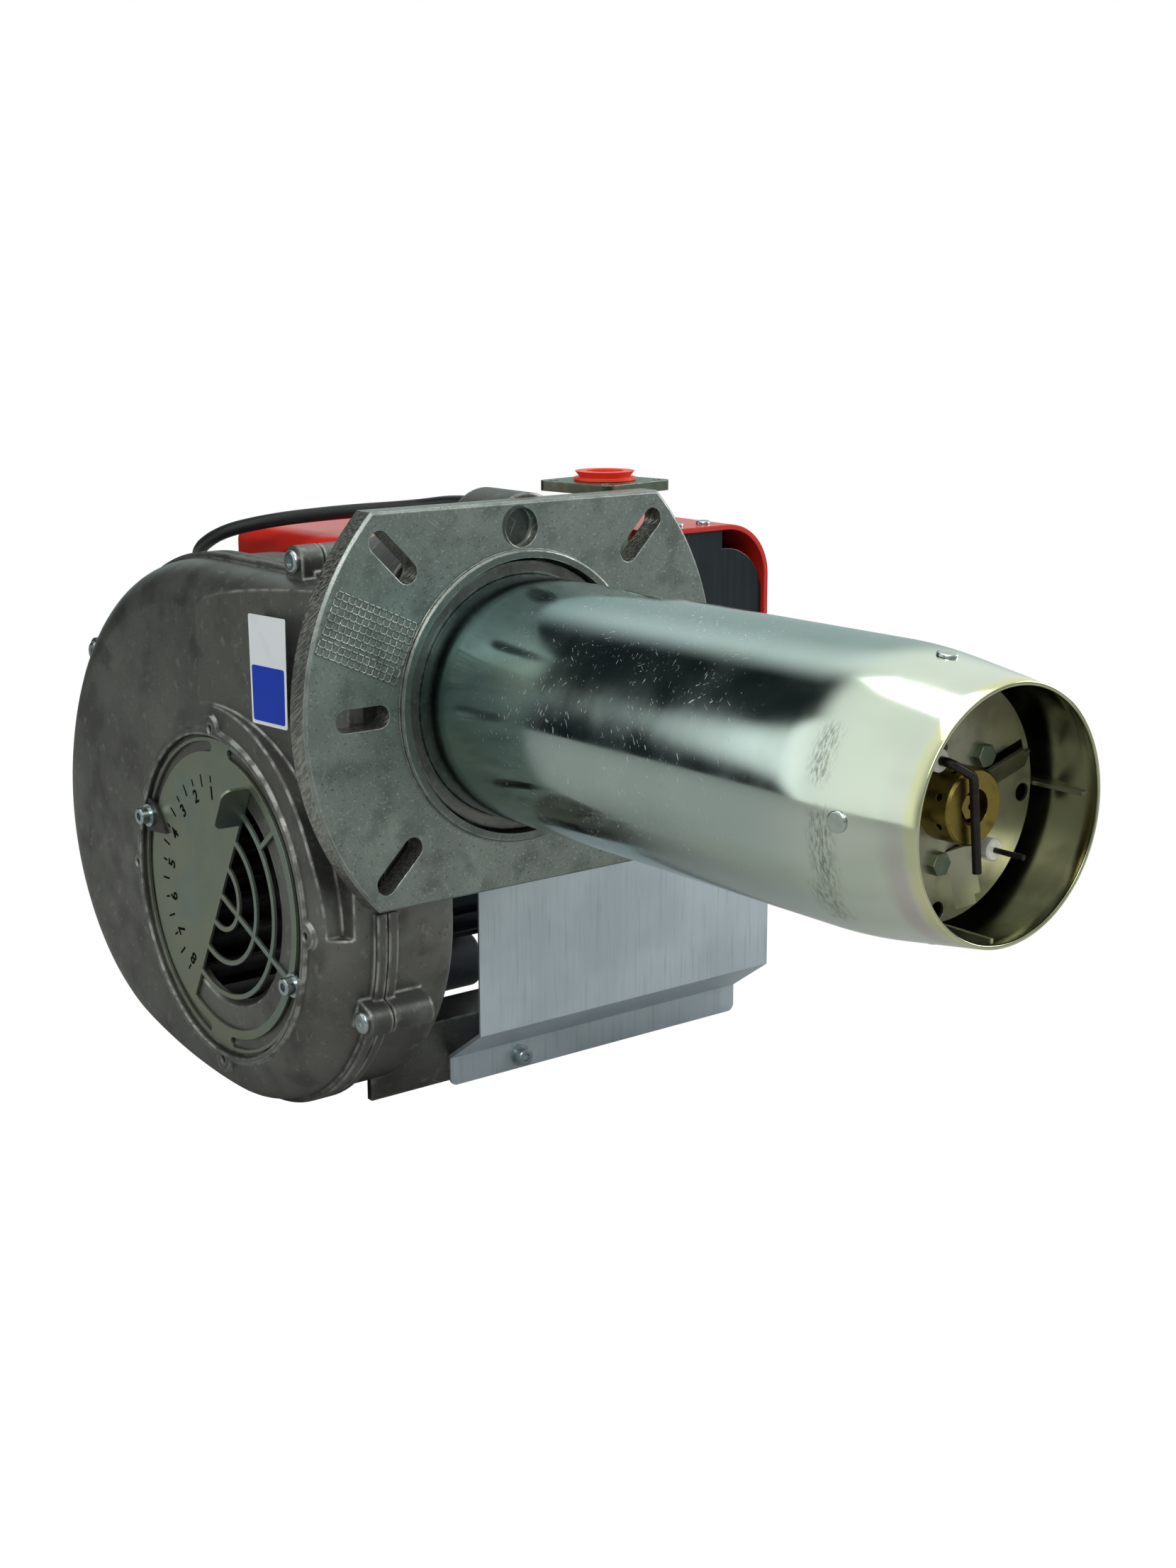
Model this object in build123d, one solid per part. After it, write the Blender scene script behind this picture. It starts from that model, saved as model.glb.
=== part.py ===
from build123d import *
import math
import os

# Industrial gas burner: forced draught, one stage, with a slotted boiler flange.
# Frame: the blast tube's axis is along Y, the flame leaves towards -Y, +Z is up.
# The origin is on the tube's axis at the flange's boiler face. Millimetres.

os.makedirs("parts", exist_ok=True)

# Mounting flange
FLANGE_HALF_HEIGHT = 90.0
FLANGE_ARC_RADIUS = 129.0
FLANGE_ARC_OFFSET = 12.2
FLANGE_THICK = 12.0
FLANGE_EDGE_BREAK = 1.2
FLANGE_BORE_R = 64.2
FLANGE_RING_R = 68.2
FLANGE_RING_HEIGHT = 2.4
SLOT_WIDTH = 10.5
SLOT_LENGTH = 27.7
CORNER_SLOT_LENGTH = 30.5
SIDE_SLOT_R = 87.3
CORNER_SLOT_R = 98.5
DIMPLE_R = 9.0
DIMPLE_DEPTH = 5.0
DIMPLE_UP = 78.0
FLANGE_SEAL_THICK = 1.5
FLANGE_SCREW_R = 2.6
FLANGE_SCREW_DEPTH = 8.0

# Blast tube and its fittings
TUBE_R = 56.5
TUBE_WALL = 1.5
TUBE_REACH = 294.7
TUBE_BACK = 36.0
TAPER_START = TUBE_REACH - 56.7
TAPER_BEND = 90.0
TAPER_ANGLE = 8.5
RIVET_Y = 33.7 - TUBE_REACH
RIVET_R = 4.2
RIVET_HEIGHT = 1.2
GUIDE_INSET = 7.0
GUIDE_LENGTH = 44.0
GUIDE_THICK = 1.5
GUIDE_TIP_R = 47.3

# Fan housing
AXIS_DROP = 105.0
SCROLL_FRONT_R = 104.5
BELLY_R = 370.0
BELLY_TURN = 14.0
REAR_R = 115.0
REAR_TURN = 101.0
HOUSING_TOP = 55.0
HOUSING_WALL = 4.0
HOUSING_CORNER = 24.0
HOUSING_EDGE = 20.0
LIP_X = -100.0
SIDE_X = -98.5
SEAM_X = -70.0
BACK_X = -28.0
SEAL_THICK = 1.0
SEAM_RIM = 3.0
SEAM_RIM_WIDTH = 5.0
NECK_FALL = 13.0
NECK_END = 12.0
DRUM_BAND = 12.0
INTAKE_RECESS_R = 80.0
INTAKE_LIP_R = 83.0
RECESS_FLOOR_X = -95.5
EYE_R = 52.0
EYE_FLARE = 3.5
EAR_R = 83.6
EAR_LOBE_R = 6.5
EAR_HOLE_R = 2.1
EAR_HOLE_DEPTH = 10.0
CLAMP_BOSS_R = 7.5
CLAMP_TURNS = (-69.0, 40.0, 124.0)
CLAMP_OUT = 6.5
CLAMP_ROOT = 10.5
TOP_CLAMP_Y = 64.0
CLAMP_HEAD_X = -82.0
CLAMP_HEAD_R = 5.4
CLAMP_SHANK_R = 2.9
CLAMP_HEAD_HEIGHT = 2.6
CLAMP_LENGTH = 26.0
BACK_EDGE = 9.0
FOOT_BOTTOM = -214.0
FOOT_WIDTH = 19.0
FOOT_DEPTH = 34.0

# Head chamber behind the flange
CHAMBER_R = 86.0
CHAMBER_STEP_Y = 44.0
CHAMBER_REAR_R = CHAMBER_R - 10.0
CHAMBER_BACK = 77.0
SPIGOT_R = 62.6
SPIGOT_BORE_R = 56.8
SPIGOT_FRONT = 1.5
HUMP_TOP = CHAMBER_R + 6.0
HUMP_R = 22.0
HUMP_BACK = 47.5
COVER_THICK = 3.0
COVER_SCREW_R = 2.0
COVER_LUG_R = 5.0
COVER_LUG_RING = CHAMBER_REAR_R + 1.0
COVER_SCREW_DEPTH = 9.0
COVER_LUG_ANGLES = (42.0, 100.0, 305.0)
FLANGE_SEAL_R = CHAMBER_R - 8.0
FLANGE_SCREW_RING = CHAMBER_R - 12.5

# Air damper
DAMPER_R = 78.2
DAMPER_THICK = 1.5
DAMPER_GAP = 0.3
DAMPER_RING_R = 66.9
DAMPER_SOLID_TURN = 62.0
DAMPER_RIBS = (16.7, 33.4, 50.2)
DAMPER_RIB_WIDTH = 2.4
DAMPER_SLOT_R = 73.9
DAMPER_SLOT_WIDTH = 5.2
DAMPER_SLOT_A = (95.0, 256.0)
DAMPER_SLOT_B = (-85.0, 79.0)
DAMPER_SCREW_ANGLE = 158.0
DAMPER_SCREW_R = 2.3
DAMPER_SCREW_DEPTH = 6.5
DAMPER_HEAD_R = 4.3
DAMPER_HEAD_HEIGHT = 5.0
WASHER_R = 5.9
WASHER_THICK = 1.4
TAB_INNER_R = 44.5
TAB_OUTER_R = 67.5
TAB_HEIGHT = 14.0
POINTER_TIP_R = 56.0
POINTER_HALF_WIDTH = 8.5
POINTER_THICK = 1.6

# Fan and motor
FAN_R = 80.0
FAN_WIDTH = 48.0
FAN_BLADES = 30
BLADE_THICK = 1.0
BLADE_SWEEP = 0.10
BLADE_DEPTH = 13.0
FAN_PLATE_THICK = 1.5
FAN_GAP = 4.0
SHAFT_R = 6.35
HUB_R = 15.0
HUB_NECK_R = 11.0
HUB_LENGTH = 24.0
MOTOR_R = 45.0
MOTOR_LENGTH = 72.0
MOTOR_LUG_RING = 50.3
MOTOR_LUG_R = 5.5
MOTOR_SCREW_R = 2.6
MOTOR_FRONT_THICK = 10.0
ROTOR_R = 27.0
ROTOR_LENGTH = 44.0
SHIELD_THICK = 11.0
MOTOR_FINS = 18
FIN_HEIGHT = 3.0
FIN_THICK = 2.6
BEARING_R = 16.0
BEARING_WIDTH = 9.0
CAPACITOR_R = 15.0
CAPACITOR_LENGTH = 58.0
CAPACITOR_GAP = 3.0
CAPACITOR_SHIFT = 8.0
CLIP_WIDTH = 16.0
CLIP_HALF = 10.0

# Heat shield, bracket, tray and hood
SHEET = 1.2
SHIELD_Y = 45.0
SHIELD_LEFT = 4.7
SHIELD_RIGHT = 197.5
SHIELD_FOLD_Z = -180.0
SHIELD_TOP = -50.0
LIP_Y = 72.0
LIP_TOP = -199.0
CUTOUT_R = CHAMBER_R + 3.0
LIP_CORNER = 4.0
LIP_SCREW_R = 2.6
LIP_SCREW_X = 48.0
LIP_SCREW_Z = -206.5
ARM_REACH = 62.0
ARM_WALL = 4.0
ARM_DEPTH = 30.0
ARM_TOP = -178.0
HOOD_LEFT = -26.0
HOOD_RIGHT = 192.5
HOOD_TOP = 64.0
HOOD_BOTTOM = -47.0
HOOD_FRONT = 44.0
HOOD_STEP_Y = 84.0
HOOD_STEP_X = 112.0
HOOD_REAR = 222.0
HOOD_WALL = 2.5
HOOD_REAR_EDGE = 7.0
HOOD_SCREW_R = 1.9
HOOD_RIGHT_CORNER = 28.0
HOOD_LEFT_CORNER = 10.0
BRACKET_DROP = 10.0
BRACKET_OVERLAP = 16.0
TAB_WIDTH = 30.0
POST_R = 5.0
CONTROL_X = (124.0, 182.0)
CONTROL_Y = (100.0, 188.0)
CONTROL_HEIGHT = 78.0
TRANSFORMER_Y = (120.0, 196.0)
TRANSFORMER_WIDTH = 54.0
TRANSFORMER_HEIGHT = 62.0
TERMINAL_LENGTH = 12.0
SWITCH_X = 84.0
SWITCH_Y = 150.0
SWITCH_R = 28.0
SWITCH_HEIGHT = 38.0
DIAL_R = 8.6
DIAL_HEIGHT = 5.5
SOCKET_POLES = 7
SOCKET_X = 130.0
SOCKET_Z = -5.0
SOCKET_WIDTH = 62.0
SOCKET_HEIGHT = 26.0
BUTTON_Y = 150.0
BUTTON_Z = 10.0
BUTTON_R = 9.0
BUTTON_TRAVEL = 3.0
BUTTON_WELL = 9.0

# Gas line
PAD_X = CHAMBER_R - 11.0
GAS_X = PAD_X + 19.0
GAS_Y = 58.0
GAS_TOP = 90.0
GAS_PLATE = 48.0
GAS_PLATE_THICK = 5.0
GAS_TURN = 9.0
GAS_BOLT_RING = 25.5
GAS_BOLT_HOLE_R = 2.6
GAS_PIPE_R = 13.4
GAS_PIPE_BORE_R = 11.0
GAS_PIPE_BOTTOM = 12.0
ELBOW_R = 15.8
ELBOW_BOTTOM = -14.0
ELBOW_TOP = 28.0
ELBOW_FLANGE_THICK = 4.0
PAD_Y = (44.5, 76.5)
PAD_Z = (-24.0, 37.0)
PAD_SCREW_INSET = 3.8
PAD_SCREW_R = 1.9
PAD_SCREW_DEPTH = 5.0
MANIFOLD_R = 16.0
MANIFOLD_FRONT = 30.0
BRANCH_R = 11.9
BRANCH_BORE_R = 9.5
PLUG_RIM_R = 15.5
PLUG_RIM_HEIGHT = 4.0
PLUG_BODY_R = 10.75
PLUG_DEPTH = 12.0
PLUG_WALL = 1.4

# Combustion head
DISC_Y = 31.7 - TUBE_REACH
DISC_R = 46.6
DISC_THICK = 1.5
DISC_HOLE_RING = 42.0
DISC_HOLE_R = 3.6
DISC_HOLE_TURN = -4.0
GAS_TUBE_R = 11.0
GAS_TUBE_WALL = 1.5
GAS_TUBE_END = 60.0
NOZZLE_R = 14.6
NOZZLE_FRONT = DISC_Y - 14.0
NOZZLE_BACK = DISC_Y + 10.0
NOZZLE_BORE_R = 7.0
FLAP_TURN = 17.0
FLAP_INNER_R = 19.0
FLAP_OUTER_R = 43.5
FLAP_WIDTH = 11.0
FLAP_TILT = 28.0
CERAMIC_R = 4.4
CERAMIC_LENGTH = 78.0
IGNITER_X = -17.0
IGNITER_Z = 19.5
IGNITER_FRONT = DISC_Y - 12.5
SENSOR_X = 20.0
SENSOR_Z = -20.8
SENSOR_FRONT = DISC_Y - 7.0
ROD_R = 1.75
PIN_R = 1.1
HEAD_BOLT_R = 2.4
HEAD_BOLT_RING = 23.5
HEAD_BOLT_REACH = 9.0
HEAD_BOLT_ANGLES = (39.0, 157.0, 259.0)
SPIDER_Y = DISC_Y + 58.0
SPIDER_TURN = 100.0
ADJUSTER_R = 4.0
KNOB_R = 9.0
KNOB_FRONT = 94.0
KNOB_LENGTH = 12.0
KNOB_GROOVES = 16

# Ignition lead
LEAD_R = 3.5
LEAD_X = 6.0
LEAD_OUT_Z = 8.0
LEAD_IN_Z = HUMP_TOP - 8.5
LEAD_HUMP_X = 13.0
LEAD_END_Y = 34.0
GROMMET_R = 6.3
GROMMET_LIP = 1.6

CLEAR = 0.15
RUNNING = 0.05
SLIDE = 0.3

HOUSING_FRONT = FLANGE_THICK + FLANGE_SEAL_THICK
FAN_Y = HOUSING_FRONT + SCROLL_FRONT_R
FAN_Z = -AXIS_DROP


def write(name, shape):
    export_step(shape, f"parts/{name}.step")


def block(x0, x1, y0, y1, z0, z1):
    centre = Pos((x0 + x1) / 2, (y0 + y1) / 2, (z0 + z1) / 2)
    return centre * Box(x1 - x0, y1 - y0, z1 - z0)


def rod_x(r, x0, x1, y=0.0, z=0.0):
    return Pos((x0 + x1) / 2, y, z) * Rot(0, 90, 0) * Cylinder(r, abs(x1 - x0))


def rod_y(r, y0, y1, x=0.0, z=0.0):
    return Pos(x, (y0 + y1) / 2, z) * Rot(90, 0, 0) * Cylinder(r, abs(y1 - y0))


def rod_z(r, z0, z1, x=0.0, y=0.0):
    return Pos(x, y, (z0 + z1) / 2) * Cylinder(r, abs(z1 - z0))


def side_extrude(sketch, x0, x1):
    """Extrude a sketch drawn in Y and Z along X."""
    return Pos(x0, 0, 0) * extrude(Plane.YZ * sketch, x1 - x0)


def front_extrude(sketch, y0, y1):
    """Extrude a sketch drawn in X and Z along Y."""
    return Pos(0, y1, 0) * extrude(Plane.XZ * sketch, y1 - y0)


def on_intake(angle, radius):
    """A point in Y and Z on the intake's face, 0 towards the flame and 90 up."""
    turn = math.radians(angle)
    return (FAN_Y - radius * math.cos(turn), FAN_Z + radius * math.sin(turn))


def on_ring(angle, radius):
    """A point in X and Z around the tube's axis."""
    turn = math.radians(angle)
    return (radius * math.cos(turn), radius * math.sin(turn))


# Scroll outline in Y and Z: tangent arcs, each leading into the next

def leftward(heading):
    """The unit vector to the left of a heading, where 0 points rearwards and 90 up."""
    turn = math.radians(heading)
    return (-math.sin(turn), math.cos(turn))


def scroll_arcs():
    """Centre, radius, first and last heading of the arcs from the bottom round the rear."""
    belly = (FAN_Y, FAN_Z - SCROLL_FRONT_R + BELLY_R)
    side = leftward(BELLY_TURN)
    rear = (belly[0] - (BELLY_R - REAR_R) * side[0], belly[1] - (BELLY_R - REAR_R) * side[1])
    lean = math.cos(math.radians(REAR_TURN))
    top_r = (HOUSING_TOP - rear[1] + REAR_R * lean) / (1 + lean)
    side = leftward(REAR_TURN)
    top = (rear[0] + (top_r - REAR_R) * side[0], rear[1] + (top_r - REAR_R) * side[1])
    arcs = [((FAN_Y, FAN_Z), SCROLL_FRONT_R, -90.0, 0.0), (belly, BELLY_R, 0.0, BELLY_TURN)]
    arcs.append((rear, REAR_R, BELLY_TURN, REAR_TURN))
    arcs.append((top, top_r, REAR_TURN, 180.0))
    return arcs


def on_scroll(heading, out=0.0):
    """A point in Y and Z on the scroll where its outline has this heading, moved outwards."""
    for centre, radius, start, end in scroll_arcs():
        if start <= heading <= end:
            side = leftward(heading)
            return (centre[0] - (radius + out) * side[0], centre[1] - (radius + out) * side[1])
    raise ValueError(heading)


def housing_outline(grow=0.0):
    front = HOUSING_FRONT - grow
    top = HOUSING_TOP + grow
    edges = []
    for centre, radius, start, end in scroll_arcs():
        edges.append(CenterArc(centre, radius + grow, start - 90.0, end - start))
    roof_end = on_scroll(180.0)[0]
    edges.append(Line((roof_end, top), (front, top)))
    edges.append(Line((front, top), (front, FAN_Z)))
    outline = make_face(edges)
    corner = outline.vertices().sort_by_distance((front, top))[0]
    return fillet(corner, HOUSING_CORNER + grow)


def clamp_places():
    """Y, Z and the outline's heading at each clamp screw."""
    places = [(*on_scroll(turn, CLAMP_OUT), turn) for turn in CLAMP_TURNS]
    places.append((TOP_CLAMP_Y, HOUSING_TOP + CLAMP_BOSS_R, 180.0))
    return places


def clamp_points():
    return [(y, z) for y, z, heading in clamp_places()]


def clamp_bosses(x0, x1):
    """Lugs for the clamp screws, round outside and running into the wall."""
    profile = Circle(CLAMP_BOSS_R) + Pos(CLAMP_ROOT / 2, 0) * Rectangle(CLAMP_ROOT, 2 * CLAMP_BOSS_R)
    lugs = []
    for y, z, heading in clamp_places():
        lugs.append(side_extrude(Pos(y, z) * Rot(0, 0, heading + 90.0) * profile, x0, x1))
    return lugs


def neck_wedge(shift):
    """What the side wall loses towards the flange, moved inwards by a wall for the inside."""
    side = SIDE_X + shift
    outside = SIDE_X - 40.0
    slope = NECK_FALL / (FAN_Y + NECK_END - HOUSING_FRONT)
    ahead = 30.0
    corners = [(outside, HOUSING_FRONT - ahead), (side + NECK_FALL + slope * ahead, HOUSING_FRONT - ahead)]
    corners.append((side, FAN_Y + NECK_END))
    corners.append((outside, FAN_Y + NECK_END))
    height = HOUSING_TOP - FAN_Z + 20.0
    wedge = Pos(0, 0, FAN_Z) * extrude(make_face(Polyline(*corners, close=True)), height)
    band = rod_x(INTAKE_LIP_R + DRUM_BAND - shift, outside - 1.0, SEAM_X, FAN_Y, FAN_Z)
    return wedge - band


def flange_room():
    """The space in front of the housing that the flange and its seal take."""
    return block(SIDE_X - 40.0, CHAMBER_R, HOUSING_FRONT - 30.0, HOUSING_FRONT, -FLANGE_HALF_HEIGHT - 4.0,
                 HOUSING_TOP + 30.0)


def intake_housing():
    seam = SEAM_X - SEAL_THICK / 2
    body = side_extrude(housing_outline(), SIDE_X, seam)
    body = fillet(body.faces().sort_by(Axis.X)[0].edges(), HOUSING_EDGE)
    body = body - neck_wedge(0.0)
    for boss in clamp_bosses(CLAMP_HEAD_X, seam):
        body = body + boss
    body = body + side_extrude(housing_outline(SEAM_RIM), seam - SEAM_RIM_WIDTH, seam)
    body = body - flange_room()
    lip_back = RECESS_FLOOR_X + HOUSING_WALL
    body = body + rod_x(INTAKE_LIP_R, LIP_X, lip_back, FAN_Y, FAN_Z)
    for turn in range(4):
        y, z = on_intake(90.0 * turn, EAR_R)
        body = body + rod_x(EAR_LOBE_R, LIP_X, LIP_X + EAR_HOLE_DEPTH + 3.0, y, z)
    wall_x = RECESS_FLOOR_X + HOUSING_WALL
    hollow = side_extrude(housing_outline(-HOUSING_WALL), wall_x, seam + 1.0)
    hollow = fillet(hollow.faces().sort_by(Axis.X)[0].edges(), HOUSING_EDGE - HOUSING_WALL)
    hollow = hollow - neck_wedge(HOUSING_WALL)
    for turn in range(4):
        y, z = on_intake(90.0 * turn, EAR_R)
        hollow = hollow - rod_x(EAR_LOBE_R, LIP_X, LIP_X + EAR_HOLE_DEPTH + 3.0, y, z)
    for y, z in damper_screw_points():
        hollow = hollow - rod_x(DAMPER_SCREW_R + 2.5, RECESS_FLOOR_X, RECESS_FLOOR_X + DAMPER_SCREW_DEPTH + 2.0, y, z)
    body = body - hollow
    body = body - rod_x(INTAKE_RECESS_R, LIP_X - 1.0, RECESS_FLOOR_X, FAN_Y, FAN_Z)
    body = body - rod_x(EYE_R, LIP_X - 1.0, SEAM_X, FAN_Y, FAN_Z)
    flare = Cone(EYE_R + EYE_FLARE, EYE_R, EYE_FLARE)
    body = body - Pos(RECESS_FLOOR_X + EYE_FLARE / 2, FAN_Y, FAN_Z) * Rot(0, 90, 0) * flare
    for turn in range(4):
        y, z = on_intake(90.0 * turn, EAR_R)
        body = body - rod_x(EAR_HOLE_R, LIP_X - 1.0, LIP_X + EAR_HOLE_DEPTH, y, z)
    for y, z in damper_screw_points():
        body = body - rod_x(DAMPER_SCREW_R + CLEAR, RECESS_FLOOR_X - 1.0, RECESS_FLOOR_X + DAMPER_SCREW_DEPTH, y, z)
    for y, z in clamp_points():
        body = body - rod_x(CLAMP_SHANK_R + CLEAR, CLAMP_HEAD_X - 1.0, SEAM_X + 1.0, y, z)
    return body


def chamber_shell(inset):
    """The stepped drum behind the flange, or its inside when inset by the wall."""
    start = HOUSING_FRONT + inset
    drum = rod_y(CHAMBER_R - inset, start, CHAMBER_STEP_Y - inset)
    drum = drum + rod_y(CHAMBER_REAR_R - inset, start, CHAMBER_BACK - inset)
    return drum


def cover_lugs(radius, y0, y1):
    lugs = []
    for angle in COVER_LUG_ANGLES:
        x, z = on_ring(angle, COVER_LUG_RING)
        lugs.append(rod_y(radius, y0, y1, x, z))
    return lugs


def pad_screw_points():
    points = []
    for y in (PAD_Y[0] + PAD_SCREW_INSET, PAD_Y[1] - PAD_SCREW_INSET):
        for z in (PAD_Z[0] + PAD_SCREW_INSET, PAD_Z[1] - PAD_SCREW_INSET):
            points.append((y, z))
    return points


def flange_screw_points():
    return [on_ring(30.0 + 90.0 * turn, FLANGE_SCREW_RING) for turn in range(4)]


def cast_arm():
    """The foot wall under the chamber that the heat shield's lip is screwed to."""
    front = LIP_Y + SHEET
    root = BACK_X - 14.0
    foot = FOOT_BOTTOM + 3.0
    arm = block(root, ARM_REACH, front, front + ARM_WALL, foot, ARM_TOP)
    arm = arm + block(root, ARM_REACH, front, front + ARM_DEPTH, ARM_TOP - ARM_WALL, ARM_TOP)
    for x in (BACK_X + 6.0, ARM_REACH - ARM_WALL):
        arm = arm + block(x, x + ARM_WALL, front, front + ARM_DEPTH, foot, ARM_TOP)
    boss = rod_y(LIP_SCREW_R + 3.5, front, front + ARM_WALL + 5.0, LIP_SCREW_X, LIP_SCREW_Z)
    return arm + boss


def chamber_drum(seam):
    """The solid drum behind the flange with its lead hump, gas pad and cover lugs."""
    drum = chamber_shell(0.0)
    drum = drum + rod_y(HUMP_R, HOUSING_FRONT, HUMP_BACK, LEAD_HUMP_X, HUMP_TOP - HUMP_R)
    drum = drum + block(PAD_X - 20.0, PAD_X, CHAMBER_STEP_Y - 1.0, CHAMBER_BACK, *PAD_Z)
    for lug in cover_lugs(COVER_LUG_R, CHAMBER_BACK - 14.0, CHAMBER_BACK):
        drum = drum + lug
    drum = drum - block(PAD_X, CHAMBER_R, CHAMBER_STEP_Y, CHAMBER_BACK + 1.0, *PAD_Z)
    return drum - block(LIP_X, seam, 0.0, CHAMBER_BACK + 5.0, -CHAMBER_R, HUMP_TOP)


def motor_housing():
    seam = SEAM_X + SEAL_THICK / 2
    body = side_extrude(housing_outline(), seam, BACK_X)
    body = fillet(body.faces().sort_by(Axis.X)[-1].edges(), BACK_EDGE)
    body = body + chamber_drum(seam)
    body = body + side_extrude(housing_outline(SEAM_RIM), seam, seam + SEAM_RIM_WIDTH)
    for boss in clamp_bosses(seam, SEAM_X + 22.0):
        body = body + boss
    foot_x = (SEAM_X + BACK_X) / 2 - 5.5
    body = body + block(foot_x - FOOT_WIDTH / 2, foot_x + FOOT_WIDTH / 2, FAN_Y - FOOT_DEPTH / 2,
                        FAN_Y + FOOT_DEPTH / 2, FOOT_BOTTOM, FAN_Z - SCROLL_FRONT_R + 12.0)
    body = body + cast_arm()
    body = body - flange_room()
    body = body + rod_y(SPIGOT_R, SPIGOT_FRONT, HOUSING_FRONT + 1.0)
    hollow = side_extrude(housing_outline(-HOUSING_WALL), seam - 1.0, BACK_X - HOUSING_WALL)
    body = body - hollow - chamber_shell(HOUSING_WALL)
    rear_opening = rod_y(CHAMBER_REAR_R - HOUSING_WALL, CHAMBER_BACK - HOUSING_WALL - 1.0, CHAMBER_BACK + 1.0)
    body = body - (rear_opening & block(BACK_X + 1.0, CHAMBER_R, 0.0, CHAMBER_BACK + 1.0, -CHAMBER_R, CHAMBER_R))
    body = body - rod_y(SPIGOT_BORE_R, SPIGOT_FRONT - 1.0, HOUSING_FRONT + HOUSING_WALL + 1.0)
    body = body - rod_x(SHAFT_R + 10.0, BACK_X - HOUSING_WALL - 2.0, BACK_X + 2.0, FAN_Y, FAN_Z)
    body = body - rod_x(BRANCH_R + CLEAR, 40.0, PAD_X + 4.0, GAS_Y, 0)
    for y, z in pad_screw_points():
        body = body - rod_x(PAD_SCREW_R + CLEAR, PAD_X - PAD_SCREW_DEPTH, PAD_X + 1.0, y, z)
    for y, z in clamp_points():
        body = body - rod_x(CLAMP_SHANK_R + CLEAR, SEAM_X - 1.0, CLAMP_HEAD_X + CLAMP_LENGTH + 1.0, y, z)
    body = body - rod_y(LIP_SCREW_R + CLEAR, LIP_Y, LIP_Y + 20.0, LIP_SCREW_X, LIP_SCREW_Z)
    body = body - rod_y(GROMMET_R, LEAD_END_Y - 4.0, HUMP_BACK + 1.0, LEAD_HUMP_X, LEAD_IN_Z)
    for screw_hole in cover_lugs(COVER_SCREW_R + CLEAR, CHAMBER_BACK - COVER_SCREW_DEPTH, CHAMBER_BACK + 1.0):
        body = body - screw_hole
    for x, z in flange_screw_points():
        body = body - rod_y(FLANGE_SCREW_R + CLEAR, HOUSING_FRONT - 1.0, HOUSING_FRONT + HOUSING_WALL + 1.0, x, z)
    return body


def housing_seal():
    ring = housing_outline(-0.5) - housing_outline(0.5 - HOUSING_WALL)
    return side_extrude(ring, SEAM_X - SEAL_THICK / 2, SEAM_X + SEAL_THICK / 2)


def housing_screws():
    screws = []
    for y, z in clamp_points():
        head = rod_x(CLAMP_HEAD_R, CLAMP_HEAD_X - CLAMP_HEAD_HEIGHT, CLAMP_HEAD_X, y, z)
        head = fillet(head.edges().sort_by(Axis.X)[0], CLAMP_HEAD_HEIGHT * 0.6)
        seat = Pos(CLAMP_HEAD_X - CLAMP_HEAD_HEIGHT - 0.5, y, z) * Rot(0, 90, 0)
        socket = seat * extrude(RegularPolygon(CLAMP_HEAD_R * 0.45, 6), 0.5 + CLAMP_HEAD_HEIGHT * 0.5)
        shank = rod_x(CLAMP_SHANK_R, CLAMP_HEAD_X, CLAMP_HEAD_X + CLAMP_LENGTH, y, z)
        screws.append(head + shank - socket)
    return Compound(children=screws)


# Flange

def flange_profile():
    centre = FLANGE_ARC_OFFSET
    corner_x = math.sqrt(FLANGE_ARC_RADIUS**2 - FLANGE_HALF_HEIGHT**2) - centre
    reach = FLANGE_ARC_RADIUS - centre
    high = FLANGE_HALF_HEIGHT
    top = Line((-corner_x, high), (corner_x, high))
    right = ThreePointArc((corner_x, high), (reach, 0), (corner_x, -high))
    bottom = Line((corner_x, -high), (-corner_x, -high))
    left = ThreePointArc((-corner_x, -high), (-reach, 0), (-corner_x, high))
    return make_face([top, right, bottom, left])


def mounting_flange():
    plate = front_extrude(flange_profile(), 0.0, FLANGE_THICK)
    plate = chamfer(plate.faces().sort_by(Axis.Y)[0].edges(), FLANGE_EDGE_BREAK)
    ring = rod_y(FLANGE_RING_R, -FLANGE_RING_HEIGHT, 1.0)
    plate = plate + chamfer(ring.edges().sort_by(Axis.Y)[0], 0.8)
    plate = plate - rod_y(FLANGE_BORE_R, -FLANGE_RING_HEIGHT - 1.0, FLANGE_THICK + 1.0)
    slots = Sketch()
    for angle in (0, 180):
        slots += Rot(0, 0, angle) * Pos(SIDE_SLOT_R, 0) * SlotOverall(SLOT_LENGTH, SLOT_WIDTH)
    for angle in (45, 135, 225, 315):
        slots += Rot(0, 0, angle) * Pos(CORNER_SLOT_R, 0) * SlotOverall(CORNER_SLOT_LENGTH, SLOT_WIDTH)
    plate = plate - front_extrude(slots, -1.0, FLANGE_THICK + 1.0)
    plate = plate - rod_y(DIMPLE_R, -1.0, DIMPLE_DEPTH, 0.0, DIMPLE_UP)
    for x, z in flange_screw_points():
        plate = plate - rod_y(FLANGE_SCREW_R + CLEAR, FLANGE_THICK - FLANGE_SCREW_DEPTH, FLANGE_THICK + 1.0, x, z)
    return plate


def flange_seal():
    ring = rod_y(FLANGE_SEAL_R, FLANGE_THICK, HOUSING_FRONT)
    ring = ring - rod_y(FLANGE_BORE_R, FLANGE_THICK - 1.0, HOUSING_FRONT + 1.0)
    for x, z in flange_screw_points():
        ring = ring - rod_y(FLANGE_SCREW_R + CLEAR, FLANGE_THICK - 1.0, HOUSING_FRONT + 1.0, x, z)
    return ring


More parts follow.
